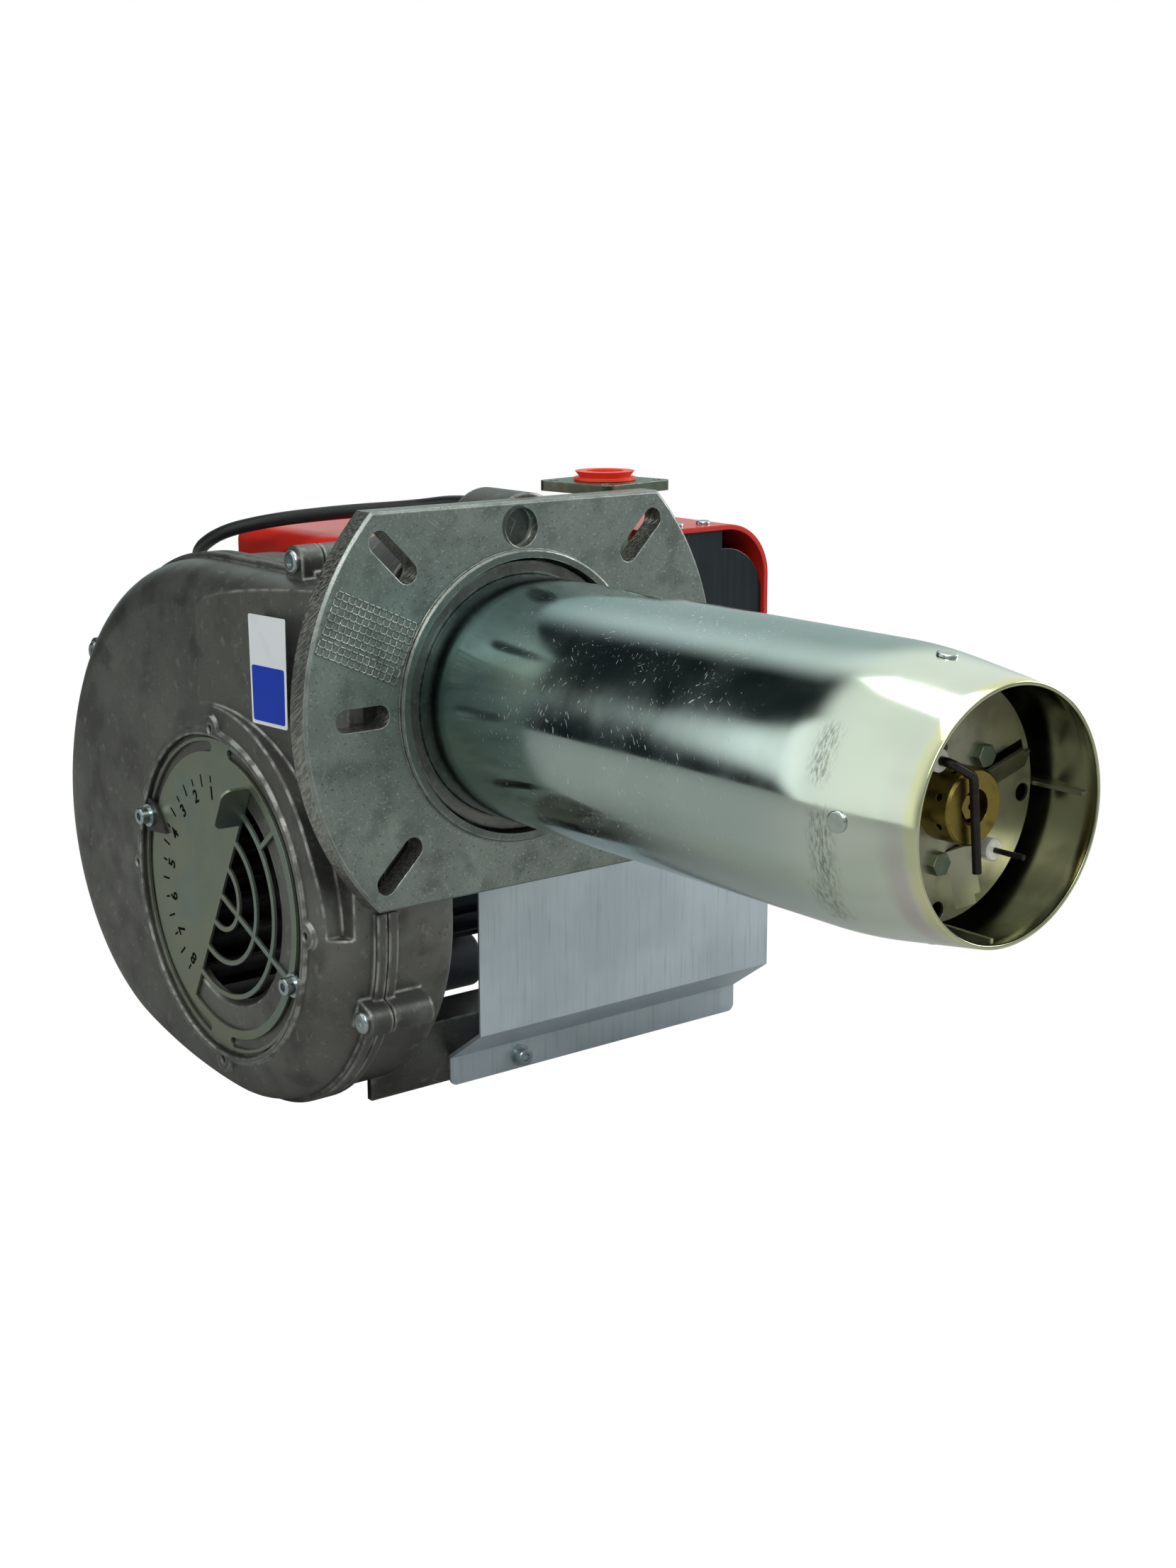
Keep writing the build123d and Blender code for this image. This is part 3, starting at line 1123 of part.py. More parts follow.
def protective_plug():
    rim_z = GAS_TOP + 0.2
    rim = rod_z(PLUG_RIM_R, rim_z, rim_z + 1.4, GAS_X, GAS_Y)
    dish = Cone(PLUG_BODY_R + 1.0, PLUG_RIM_R - 0.6, PLUG_RIM_HEIGHT)
    collar = Pos(GAS_X, GAS_Y, rim_z + PLUG_RIM_HEIGHT / 2 + 0.5) * dish
    stem = rod_z(PLUG_BODY_R, GAS_TOP - PLUG_DEPTH, rim_z + 1.0, GAS_X, GAS_Y)
    cup = rod_z(PLUG_BODY_R - PLUG_WALL, GAS_TOP - PLUG_DEPTH + PLUG_WALL, rim_z + 10.0, GAS_X, GAS_Y)
    return stem + rim + collar - cup


# Combustion head

def cover_clip():
    """The part of the space behind the chamber that its cover can take."""
    return block(BACK_X + SLIDE, CHAMBER_R, CHAMBER_BACK - 1.0, CHAMBER_BACK + COVER_THICK + 1.0, -CHAMBER_R, CHAMBER_R)


def chamber_cover():
    back = CHAMBER_BACK + COVER_THICK
    plate = rod_y(CHAMBER_REAR_R, CHAMBER_BACK, back)
    for lug in cover_lugs(COVER_LUG_R, CHAMBER_BACK, back):
        plate = plate + lug
    plate = plate & cover_clip()
    plate = plate - block(PAD_X, CHAMBER_R, CHAMBER_BACK - 1.0, back + 1.0, *PAD_Z)
    for hole in cover_lugs(COVER_SCREW_R + CLEAR, CHAMBER_BACK - 1.0, back + 1.0):
        plate = plate - hole
    return plate - rod_y(ADJUSTER_R + RUNNING, CHAMBER_BACK - 1.0, back + 1.0)


def cover_screws():
    screws = []
    back = CHAMBER_BACK + COVER_THICK
    shanks = cover_lugs(COVER_SCREW_R, CHAMBER_BACK - COVER_SCREW_DEPTH + 0.5, back)
    heads = cover_lugs(COVER_SCREW_R * 1.7, back, back + COVER_SCREW_R * 1.5)
    for shank, head in zip(shanks, heads):
        screws.append(shank + head)
    return Compound(children=screws)


def gas_tube():
    tube = rod_y(GAS_TUBE_R, NOZZLE_BACK, GAS_TUBE_END)
    tube = tube - rod_y(GAS_TUBE_R - GAS_TUBE_WALL, NOZZLE_BACK - 1.0, GAS_TUBE_END - 3.0)
    window = rod_x(BRANCH_BORE_R * 0.7, 0.0, GAS_TUBE_R + 1.0, GAS_TUBE_END - 14.0, 0)
    return tube - window - rod_y(ADJUSTER_R, GAS_TUBE_END - 4.0, GAS_TUBE_END + 1.0)


def adjuster_rod():
    rod = rod_y(ADJUSTER_R, GAS_TUBE_END - 3.0, KNOB_FRONT + KNOB_LENGTH - 3.0)
    return chamfer(rod.edges().sort_by(Axis.Y)[-1], 0.6)


def adjuster_knob():
    knob = rod_y(KNOB_R, KNOB_FRONT, KNOB_FRONT + KNOB_LENGTH)
    knob = fillet(knob.edges().sort_by(Axis.Y)[-1], 1.2)
    grooves = []
    for turn in range(KNOB_GROOVES):
        x, z = on_ring(360.0 * turn / KNOB_GROOVES, KNOB_R + 0.4)
        grooves.append(rod_y(1.1, KNOB_FRONT - 1.0, KNOB_FRONT + KNOB_LENGTH + 1.0, x, z))
    knob = knob - grooves
    return knob - rod_y(ADJUSTER_R, KNOB_FRONT - 1.0, KNOB_FRONT + KNOB_LENGTH - 3.0)


def gas_nozzle():
    nozzle = rod_y(NOZZLE_R, NOZZLE_FRONT, NOZZLE_BACK)
    nozzle = chamfer(nozzle.edges().sort_by(Axis.Y)[0], 1.0)
    nozzle = nozzle - rod_y(NOZZLE_BORE_R, NOZZLE_FRONT - 1.0, NOZZLE_BACK - 3.0)
    nozzle = nozzle - rod_y(2.5, NOZZLE_BACK - 4.0, NOZZLE_BACK + 1.0)
    for turn in range(8):
        port = rod_x(1.4, NOZZLE_BORE_R - 1.0, NOZZLE_R + 1.0, NOZZLE_FRONT + 5.0)
        nozzle = nozzle - Rot(0, 45.0 * turn + 20.0, 0) * port
    return nozzle


def nozzle_jet():
    jet = rod_y(NOZZLE_BORE_R, NOZZLE_FRONT + 6.0, NOZZLE_BACK - 3.0)
    hexagon = RegularPolygon(NOZZLE_BORE_R * 0.72, 6)
    jet = jet + front_extrude(hexagon, NOZZLE_FRONT + 2.0, NOZZLE_FRONT + 7.0)
    return jet - rod_y(1.3, NOZZLE_FRONT, NOZZLE_BACK)


def diffuser_flap():
    """One flap, hinged on its long side and bent towards the flame."""
    length = FLAP_OUTER_R - FLAP_INNER_R
    flap = Pos(FLAP_INNER_R + length / 2, 0, FLAP_WIDTH / 2) * Box(length, DISC_THICK, FLAP_WIDTH)
    flap = flap - Pos(FLAP_OUTER_R, 0, FLAP_WIDTH) * Box(8.0, 4.0, 5.0)
    return Pos(0, DISC_Y + DISC_THICK / 2, -FLAP_WIDTH / 2) * Rot(FLAP_TILT, 0, 0) * flap


def diffuser_disc():
    back = DISC_Y + DISC_THICK
    disc = rod_y(DISC_R, DISC_Y, back) - rod_y(NOZZLE_R, DISC_Y - 1.0, back + 1.0)
    length = FLAP_OUTER_R - FLAP_INNER_R
    slit = Pos(FLAP_INNER_R + length / 2, DISC_Y, 0) * Box(length + 0.6, 10.0, FLAP_WIDTH)
    for turn in range(4):
        seat = Rot(0, -(FLAP_TURN + 90.0 * turn), 0)
        disc = disc - seat * slit + seat * diffuser_flap()
        x, z = on_ring(DISC_HOLE_TURN + 90.0 * turn, DISC_HOLE_RING)
        disc = disc - rod_y(DISC_HOLE_R, DISC_Y - 2.0, back + 1.0, x, z)
    for angle in HEAD_BOLT_ANGLES:
        x, z = on_ring(angle, HEAD_BOLT_RING)
        disc = disc - rod_y(HEAD_BOLT_R + CLEAR, DISC_Y - 2.0, back + 1.0, x, z)
    for x, z in ((IGNITER_X, IGNITER_Z), (SENSOR_X, SENSOR_Z)):
        disc = disc - rod_y(CERAMIC_R + 0.1, DISC_Y - 6.0, back + 1.0, x, z)
    return disc


def diffuser_bolts():
    bolts = []
    for angle in HEAD_BOLT_ANGLES:
        x, z = on_ring(angle, HEAD_BOLT_RING)
        head = front_extrude(Pos(x, z) * RegularPolygon(HEAD_BOLT_R * 1.95, 6), DISC_Y - 3.2, DISC_Y)
        nut = front_extrude(Pos(x, z) * RegularPolygon(HEAD_BOLT_R * 1.95, 6), DISC_Y + DISC_THICK,
                            DISC_Y + DISC_THICK + 3.0)
        bolts.append(head + nut + rod_y(HEAD_BOLT_R, DISC_Y - 1.0, DISC_Y + HEAD_BOLT_REACH, x, z))
    return Compound(children=bolts)


def electrode_insulators():
    first = rod_y(CERAMIC_R, IGNITER_FRONT, IGNITER_FRONT + CERAMIC_LENGTH, IGNITER_X, IGNITER_Z)
    second = rod_y(CERAMIC_R, SENSOR_FRONT, SENSOR_FRONT + CERAMIC_LENGTH, SENSOR_X, SENSOR_Z)
    return Compound(children=[chamfer(rod.edges().sort_by(Axis.Y)[0], 0.6) for rod in (first, second)])


def ignition_electrode():
    ahead = IGNITER_FRONT - 4.5
    points = [(IGNITER_X, IGNITER_FRONT, IGNITER_Z), (IGNITER_X, ahead, IGNITER_Z)]
    points += [(-4.6, ahead, 12.7), (-0.8, ahead, -24.0)]
    path = FilletPolyline(*points, radius=ROD_R * 1.9)
    return sweep(Plane(path @ 0, z_dir=path % 0) * Circle(ROD_R), path)


def sensing_electrode():
    return rod_y(PIN_R, SENSOR_FRONT - 14.0, SENSOR_FRONT, SENSOR_X, SENSOR_Z)


def head_spider():
    hub = rod_y(GAS_TUBE_R + 4.0, SPIDER_Y, SPIDER_Y + 12.0)
    for turn in range(3):
        leg = block(GAS_TUBE_R, TUBE_R - TUBE_WALL - SLIDE, SPIDER_Y + 2.0, SPIDER_Y + 10.0, -2.0, 2.0)
        hub = hub + Rot(0, -(SPIDER_TURN + 120.0 * turn), 0) * leg
    return hub - rod_y(GAS_TUBE_R, SPIDER_Y - 1.0, SPIDER_Y + 13.0)


# Ignition lead and its grommets

def lead_route():
    """The lead's corner points, from the transformer over the hood to the chamber's hump."""
    start = TRANSFORMER_Y[1] + TERMINAL_LENGTH
    points = [(LEAD_X, start, LEAD_OUT_Z), (LEAD_X, start + 36.0, LEAD_OUT_Z)]
    points.append((HOOD_LEFT + 4.0, HOOD_REAR + 34.0, HOOD_TOP - 36.0))
    points.append((HOOD_LEFT - 18.0, HOOD_REAR + 10.0, HOOD_TOP - 16.0))
    points.append((HOOD_LEFT - 20.0, HOOD_REAR - 24.0, HOOD_TOP - 2.0))
    points.append((HOOD_LEFT - 8.0, HOOD_REAR - 57.0, HOOD_TOP + 6.0))
    points.append((HOOD_LEFT + 16.0, HOOD_REAR - 88.0, HOOD_TOP + 11.0))
    points.append((LEAD_HUMP_X - 5.0, HUMP_BACK + 54.5, LEAD_IN_Z - 5.0))
    points.append((LEAD_HUMP_X, HUMP_BACK + 22.5, LEAD_IN_Z))
    points.append((LEAD_HUMP_X, LEAD_END_Y, LEAD_IN_Z))
    return [Vector(*point) for point in points]


def corner_radii(points):
    """The largest tangent arc that each corner's two runs leave room for."""
    radii = []
    for before, corner, after in zip(points, points[1:], points[2:]):
        first = corner - before
        second = after - corner
        turn = math.radians(first.get_angle(second))
        radii.append(0.45 * min(first.length, second.length) / math.tan(turn / 2))
    return radii


def ignition_lead():
    points = lead_route()
    radii = corner_radii(points)
    print("lead radii", [round(radius, 1) for radius in radii])
    path = FilletPolyline(*points, radius=radii)
    lead = sweep(Plane(path @ 0, z_dir=path % 0) * Circle(LEAD_R), path)
    print("lead length", round(path.length, 1), "volume ratio", lead.volume / (math.pi * LEAD_R**2 * path.length))
    return lead


def grommet(x, z, face):
    """A rubber ring in a wall whose outside is at this Y and faces rearwards."""
    ring = rod_y(GROMMET_R, face - HOOD_WALL, face, x, z) + rod_y(GROMMET_R + GROMMET_LIP, face, face + 1.8, x, z)
    return ring - rod_y(LEAD_R + RUNNING, face - 10.0, face + 5.0, x, z)


def lead_grommets():
    rear = grommet(LEAD_X, LEAD_OUT_Z, HOOD_REAR)
    front = grommet(LEAD_HUMP_X, LEAD_IN_Z, HUMP_BACK)
    return Compound(children=[rear, front])


def main():
    write("intake_housing", intake_housing())
    write("motor_housing", motor_housing())
    write("housing_seal", housing_seal())
    write("housing_screws", housing_screws())
    write("mounting_flange", mounting_flange())
    write("flange_seal", flange_seal())
    write("flange_screws", flange_screws())
    write("blast_tube", blast_tube())
    write("tube_rivets", tube_rivets())
    write("tube_guides", tube_guides())
    write("air_damper", air_damper())
    write("damper_screws", damper_screws())
    write("damper_pointer", damper_pointer())
    write("fan_wheel", fan_wheel())
    write("fan_hub", fan_hub())
    write("motor_shaft", motor_shaft())
    write("motor_rotor", motor_rotor())
    write("motor_front_shield", motor_front_shield())
    write("motor_screws", motor_screws())
    write("motor_stator", motor_stator())
    write("motor_rear_shield", motor_rear_shield())
    write("motor_bearings", motor_bearings())
    write("motor_capacitor", motor_capacitor())
    write("capacitor_clip", capacitor_clip())
    write("heat_shield", heat_shield())
    write("lip_screw", lip_screw())
    write("hood_bracket", hood_bracket())
    write("component_tray", component_tray())
    write("tray_posts", tray_posts())
    write("hood", hood())
    write("hood_screws", hood_screws())
    write("control_box", control_box())
    write("reset_button", reset_button())
    write("ignition_transformer", ignition_transformer())
    write("pressure_switch", pressure_switch())
    write("pressure_dial", pressure_dial())
    write("plug_socket", plug_socket())
    write("gas_inlet_plate", gas_inlet_plate())
    write("gas_pipe", gas_pipe())
    write("gas_elbow", gas_elbow())
    write("elbow_screws", elbow_screws())
    write("gas_manifold", gas_manifold())
    write("protective_plug", protective_plug())
    write("chamber_cover", chamber_cover())
    write("cover_screws", cover_screws())
    write("gas_tube", gas_tube())
    write("adjuster_rod", adjuster_rod())
    write("adjuster_knob", adjuster_knob())
    write("gas_nozzle", gas_nozzle())
    write("nozzle_jet", nozzle_jet())
    write("diffuser_disc", diffuser_disc())
    write("diffuser_bolts", diffuser_bolts())
    write("electrode_insulators", electrode_insulators())
    write("ignition_electrode", ignition_electrode())
    write("sensing_electrode", sensing_electrode())
    write("head_spider", head_spider())
    write("ignition_lead", ignition_lead())
    write("lead_grommets", lead_grommets())


main()
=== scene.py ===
"""Industrial gas burner: finishes, fine detail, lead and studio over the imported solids."""

import logging
import math
from collections.abc import Iterable, Mapping
from dataclasses import dataclass, field
from enum import Enum
from functools import reduce
from typing import Any

import bmesh
import bpy
from mathutils import Matrix, Vector


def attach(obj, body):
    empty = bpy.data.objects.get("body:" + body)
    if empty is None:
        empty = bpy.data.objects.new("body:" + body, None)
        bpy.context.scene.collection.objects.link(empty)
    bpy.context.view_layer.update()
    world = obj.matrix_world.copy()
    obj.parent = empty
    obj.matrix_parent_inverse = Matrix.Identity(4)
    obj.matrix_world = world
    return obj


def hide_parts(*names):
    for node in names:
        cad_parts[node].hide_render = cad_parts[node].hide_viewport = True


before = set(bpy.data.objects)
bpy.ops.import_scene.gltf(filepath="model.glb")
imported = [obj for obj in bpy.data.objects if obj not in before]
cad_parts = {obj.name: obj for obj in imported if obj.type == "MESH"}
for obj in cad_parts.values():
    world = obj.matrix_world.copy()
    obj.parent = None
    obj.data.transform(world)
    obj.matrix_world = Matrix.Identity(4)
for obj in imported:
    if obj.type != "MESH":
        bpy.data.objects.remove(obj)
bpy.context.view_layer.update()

log = logging.getLogger("burner")

MM = 0.001
Colour = tuple[float, float, float, float]
Triple = tuple[float, float, float]
Pair = tuple[float, float]


class Body(str, Enum):
    """The burner's bodies that the scene's own pieces ride on."""

    BASE = "base"
    DAMPER = "damper"


def linear(code: str) -> Colour:
    """Turn an sRGB hex code into a linear colour.

    Args:
        code: Six hex digits with a leading hash.

    Returns:
        Red, green, blue and an alpha of one.
    """
    parts = [int(code[i : i + 2], 16) / 255 for i in (1, 3, 5)]
    red, green, blue = (p / 12.92 if p <= 0.04045 else ((p + 0.055) / 1.055) ** 2.4 for p in parts)
    return (red, green, blue, 1.0)


class Graph:
    """A material's or world's node tree, built through one function that adds a node."""

    def __init__(self, owner: bpy.types.Material | bpy.types.World) -> None:
        """Start an empty tree in a material or world."""
        owner.use_nodes = True
        self.owner = owner
        self.tree = owner.node_tree
        self.tree.nodes.clear()
        self.coords = self.node("ShaderNodeTexCoord").outputs
        self.place = self.coords["Object"]

    def node(self, kind: str, inputs: Mapping[str | int, Any] | None = None, **settings: Any) -> bpy.types.Node:
        """Add a node, set its properties and fill or link its inputs.

        Args:
            kind: The node's type name.
            inputs: Input names or numbers with a value or an output socket each.
            **settings: Properties of the node itself.

        Returns:
            The new node.
        """
        made = self.tree.nodes.new(kind)
        for key, value in settings.items():
            setattr(made, key, value)
        for key, value in (inputs or {}).items():
            if isinstance(value, bpy.types.NodeSocket):
                self.tree.links.new(value, made.inputs[key])
            else:
                made.inputs[key].default_value = value
        return made

    def math(self, operation: str, a: Any, b: Any = 0.0, clamp: bool = False) -> bpy.types.NodeSocket:
        """Combine two numbers.

        Args:
            operation: Blender's name of the operation.
            a: First value or socket.
            b: Second value or socket.
            clamp: Whether the result is kept from 0 to 1.

        Returns:
            The result's socket.
        """
        return self.node("ShaderNodeMath", {0: a, 1: b}, operation=operation, use_clamp=clamp).outputs[0]

    def times(self, *values: Any) -> bpy.types.NodeSocket:
        """Multiply two or more values or sockets and return the socket."""
        return reduce(lambda a, b: self.math("MULTIPLY", a, b), values)

    def step(self, value: Any, low: float, high: float, to_low: float = 0.0,
             to_high: float = 1.0) -> bpy.types.NodeSocket:
        """Map a range of values smoothly onto another, clamped at both ends.

        Args:
            value: The socket to map.
            low: Where the range starts.
            high: Where the range ends.
            to_low: Result at the start.
            to_high: Result at the end.

        Returns:
            The mapped socket.
        """
        inputs = {"Value": value, "From Min": low, "From Max": high, "To Min": to_low, "To Max": to_high}
        return self.node("ShaderNodeMapRange", inputs, interpolation_type="SMOOTHSTEP").outputs["Result"]

    def pattern(self, size: float, stretch: Triple = (1, 1, 1), detail: float = 3.0, seed: float = 0.0,
                turn: Triple = (0, 0, 0)) -> bpy.types.NodeSocket:
        """Lay a noise pattern of a real size over the piece.

        Args:
            size: Size of a patch in millimetres.
            stretch: How many times longer a patch is along each axis.
            detail: Octaves of the noise.
            seed: Shift that keeps two patterns apart, in patches.
            turn: Turn of the pattern about each axis, in degrees.

        Returns:
            The pattern's value, about 0 to 1.
        """
        scale = tuple(1.0 / (size * MM * s) for s in stretch)
        turned = self.node("ShaderNodeMapping", {"Vector": self.place, "Rotation": tuple(map(math.radians, turn))})
        shift = {"Vector": turned.outputs[0], "Scale": scale, "Location": (seed, -seed, seed)}
        moved = self.node("ShaderNodeMapping", shift)
        inputs = {"Vector": moved.outputs[0], "Scale": 1.0, "Detail": detail}
        return self.node("ShaderNodeTexNoise", inputs).outputs["Fac"]

    def mix(self, share: Any, a: Any, b: Any) -> bpy.types.NodeSocket:
        """Mix two colours, each a hex code, a linear colour or a socket.

        Args:
            share: How much of the second colour shows.
            a: First colour.
            b: Second colour.

        Returns:
            The mixed colour's socket.
        """
        first, second = (linear(c) if isinstance(c, str) else c for c in (a, b))
        return self.node("ShaderNodeMix", {0: share, 6: first, 7: second}, data_type="RGBA").outputs[2]

    def blend_number(self, share: Any, a: Any, b: Any) -> bpy.types.NodeSocket:
        """Mix two numbers by a share and return the socket."""
        return self.node("ShaderNodeMix", {0: share, 2: a, 3: b}, data_type="FLOAT").outputs[0]

    def span(self, value: Any, ends: Pair, to_low: float = 0.0, to_high: float = 1.0) -> bpy.types.NodeSocket:
        """Map a span in millimetres smoothly onto 0 to 1, or onto another range."""
        return self.step(value, ends[0] * MM, ends[1] * MM, to_low, to_high)

    def wander(self, value: Any, size: float, reach: float, seed: float) -> bpy.types.NodeSocket:
        """Shift a place by slow noise of a size and reach in millimetres, so that a border wanders."""
        shift = self.math("SUBTRACT", self.pattern(size, seed=seed), 0.5)
        return self.math("ADD", value, self.times(shift, reach * MM))

    def axis(self, name: str) -> bpy.types.NodeSocket:
        """Return the place along X, Y or Z in metres."""
        return self.node("ShaderNodeSeparateXYZ", {0: self.place}).outputs[name]

    def vector(self, operation: str, a: Any, b: Any) -> bpy.types.NodeSocket:
        """Combine two vectors into a number and return the socket."""
        return self.node("ShaderNodeVectorMath", {0: a, 1: b}, operation=operation).outputs["Value"]

    def flat_place(self) -> bpy.types.NodeSocket:
        """Return the place with its Y taken out."""
        parts = self.node("ShaderNodeSeparateXYZ", {0: self.place}).outputs
        return self.node("ShaderNodeCombineXYZ", {0: parts[0], 2: parts[2]}).outputs[0]

    def around(self, x: float = 0.0, z: float = 0.0) -> bpy.types.NodeSocket:
        """Return the distance in metres from the line along Y through a place in millimetres."""
        return self.vector("DISTANCE", self.flat_place(), (x * MM, 0.0, z * MM))

    def inward(self) -> bpy.types.NodeSocket:
        """Return 1 where the surface faces the tube's axis and 0 where it faces away."""
        normal = self.node("ShaderNodeNewGeometry").outputs["True Normal"]
        return self.step(self.vector("DOT_PRODUCT", self.flat_place(), normal), 0.002, -0.002)

    def facing(self, axis: str) -> bpy.types.NodeSocket:
        """Return how much the surface faces along an axis, from 0 to 1 either way."""
        normal = self.node("ShaderNodeNewGeometry").outputs["True Normal"]
        part = self.node("ShaderNodeSeparateXYZ", {0: normal}).outputs[axis]
        return self.math("ABSOLUTE", part)


@dataclass(frozen=True)
class Mottle:
    """Patches of another colour, soft or hard at the edges."""

    colour: str
    size: float
    low: float = 0.45
    high: float = 0.65
    share: float = 1.0
    stretch: Triple = (1, 1, 1)
    detail: float = 3.0
    rougher: float = 0.0


@dataclass(frozen=True)
class Grain:
    """Fine relief of a real height in millimetres."""

    size: float
    height: float
    stretch: Triple = (1, 1, 1)
    detail: float = 2.0


@dataclass(frozen=True)
class EdgeWearAndHighlight:
    """Edges that are rounded by a radius and turned to another colour by rubbing, and on the casting also lightened
    as a painted highlight.
    """

    radius: float
    colour: str
    share: float
    size: float
    smoother: float = 0.1


@dataclass(frozen=True)
class Finish:
    """A surface finish: base colour, shine, patches, relief and rubbed edges, which on the casting also carry a
    painted highlight.
    """

    name: str
    colour: str
    metallic: float = 0.0
    roughness: float = 0.5
    mottles: tuple[Mottle, ...] = ()
    grains: tuple[Grain, ...] = ()
    wear_and_highlight: EdgeWearAndHighlight | None = None
    coat: float = 0.0
    specular: float = 0.5

    def tint(self, graph: Graph, colour: Any, roughness: Any) -> tuple[Any, Any]:
        """Change colour and roughness by place; a plain finish leaves them.

        Args:
            graph: The tree to add to.
            colour: The colour so far.
            roughness: The roughness so far.

        Returns:
            The new colour and roughness.
        """
        return colour, roughness

    def relief(self, graph: Graph) -> Any:
        """Return extra relief in millimetres, or None."""
        return None

    def material(self) -> bpy.types.Material:
        """Build the finish as a material with a single shader."""
        graph = Graph(bpy.data.materials.new(self.name))
        colour: Any = linear(self.colour)
        roughness: Any = graph.math("ADD", graph.pattern(30.0, seed=9.0), self.roughness - 0.5)
        roughness = graph.blend_number(0.25, self.roughness, roughness)
        for index, mottle in enumerate(self.mottles):
            value = graph.pattern(mottle.size, mottle.stretch, mottle.detail, 3.1 * index)
            share = graph.step(value, mottle.low, mottle.high, 0.0, mottle.share)
            colour = graph.mix(share, colour, mottle.colour)
            if mottle.rougher:
                roughness = graph.math("ADD", roughness, graph.times(share, mottle.rougher))
        colour, roughness = self.tint(graph, colour, roughness)
        height: Any = self.relief(graph)
        for index, grain in enumerate(self.grains):
            value = graph.pattern(grain.size, grain.stretch, grain.detail, 5.7 * index + 1.3)
            lift = graph.times(value, grain.height)
            height = lift if height is None else graph.math("ADD", height, lift)
        normal: Any = None
        if self.wear_and_highlight:
            round_edge = graph.node("ShaderNodeBevel", {"Radius": self.wear_and_highlight.radius * MM}, samples=4)
            normal = round_edge.outputs[0]
            flat = graph.node("ShaderNodeNewGeometry").outputs["Normal"]
            edge = graph.step(graph.vector("DOT_PRODUCT", normal, flat), 0.995, 0.93)
            # the edges' share is rubbing and, on the casting, also a painted highlight along every edge
            rubbed_and_highlit = graph.step(graph.pattern(self.wear_and_highlight.size, seed=2.2), 0.38, 0.6, 0.15, self.wear_and_highlight.share)
            share = graph.math("MULTIPLY", edge, rubbed_and_highlit, clamp=True)
            colour = graph.mix(share, colour, self.wear_and_highlight.colour)
            roughness = graph.math("SUBTRACT", roughness, graph.times(share, self.wear_and_highlight.smoother), clamp=True)
        if height is not None:
            inputs = {"Height": height, "Distance": MM, "Strength": 1.0}
            if normal is not None:
                inputs["Normal"] = normal
            normal = graph.node("ShaderNodeBump", inputs).outputs[0]
        inputs = {"Base Color": colour, "Metallic": self.metallic, "Roughness": roughness,
                  "Coat Weight": self.coat, "Coat Roughness": 0.15, "Specular IOR Level": self.specular}
        if normal is not None:
            inputs["Normal"] = normal
        shader = graph.node("ShaderNodeBsdfPrincipled", inputs)
        graph.node("ShaderNodeOutputMaterial", {"Surface": shader.outputs[0]})
        return graph.owner


@dataclass(frozen=True)
class FlangeFinish(Finish):
    """Cast plate with a ground rim, handling scratches, a painted shadow around the tube and painted shade in its
    hollow.
    """

    tube_shadow_radius: float = 68.6
    painted_recess_shade: Triple = (-1.8, 78.8, 9.2)
    scratches: tuple[Pair, ...] = ((1.0, 20), (7.0, -35), (12.0, 65))
    stroke_depth: float = 0.3

    def rim(self, graph: Graph) -> Any:
        """Return 1 on the plate's ground rim and 0 on its faces."""
        return graph.step(graph.facing("Y"), 0.75, 0.35)

    def strokes(self, graph: Graph) -> Any:
        """Return the pattern of the coarse slanting strokes on the rim."""
        return graph.pattern(0.9, (1, 9, 1), 2.0, 4.4, turn=(38, 0, 0))

    def disc(self, graph: Graph, x: float, z: float, radius: float, soft: float) -> Any:
        """Return 1 within a radius of a place on the plate, soft at the edge, all in millimetres."""
        return graph.step(graph.around(x, z), (radius + soft) * MM, radius * MM)

    def tint(self, graph: Graph, colour: Any, roughness: Any) -> tuple[Any, Any]:
        """Lighten the ground rim, paint a shadow on the plate around the tube and shade into its hollow, and add
        scratches.
        """
        rim = self.rim(graph)
        ground = graph.mix(graph.step(self.strokes(graph), 0.36, 0.64), "#74766e", "#a9aaa0")
        colour = graph.mix(rim, colour, ground)
        # painted shadow: the plate is darkened in a band around the tube
        colour = graph.mix(graph.times(self.disc(graph, 0.0, 0.0, self.tube_shadow_radius, 0.4), 0.45), colour, "#4c524f")
        # painted shade: the recessed hollow in the plate is darkened inside
        colour = graph.mix(graph.times(self.disc(graph, *self.painted_recess_shade, 0.3), 0.75), colour, "#343937")
        for seed, turn in self.scratches:
            line = graph.step(graph.pattern(0.9, (22, 22, 1), 1.0, seed, turn=(0, turn, 0)), 0.7, 0.74)
            zone = graph.step(graph.pattern(20.0, seed=seed), 0.5, 0.62, 0.0, 0.45)
            colour = graph.mix(graph.times(line, zone), colour, "#c0c5bf")
        return colour, graph.math("SUBTRACT", roughness, graph.times(rim, 0.12))

    def relief(self, graph: Graph) -> Any:
        """Return the depth of the coarse strokes on the rim."""
        return graph.times(self.strokes(graph), self.stroke_depth, self.rim(graph))


@dataclass(frozen=True)
class Smear:
    """A dull dark rub mark between two places in millimetres."""

    low: Triple
    high: Triple
    colour: str = "#4b4d46"
    share: float = 0.6
    size: float = 3.2
    soft: float = 4.0
    rougher: float = 0.2

    def lay(self, graph: Graph, colour: Any, roughness: Any) -> tuple[Any, Any]:
        """Mix the mark over a colour and roughness and return both."""
        share: Any = self.share
        for axis, low, high in zip("XYZ", self.low, self.high):
            along = graph.axis(axis)
            rise = graph.step(along, (low - self.soft) * MM, (low + self.soft) * MM)
            fall = graph.step(along, (high + self.soft) * MM, (high - self.soft) * MM)
            share = graph.times(share, rise, fall)
        dirt = graph.step(graph.pattern(self.size, (1, 0.3, 1), 6.0, 3.0), 0.38, 0.66)
        share = graph.times(share, dirt)
        roughness = graph.math("ADD", roughness, graph.times(share, self.rougher), clamp=True)
        return graph.mix(share, colour, self.colour), roughness


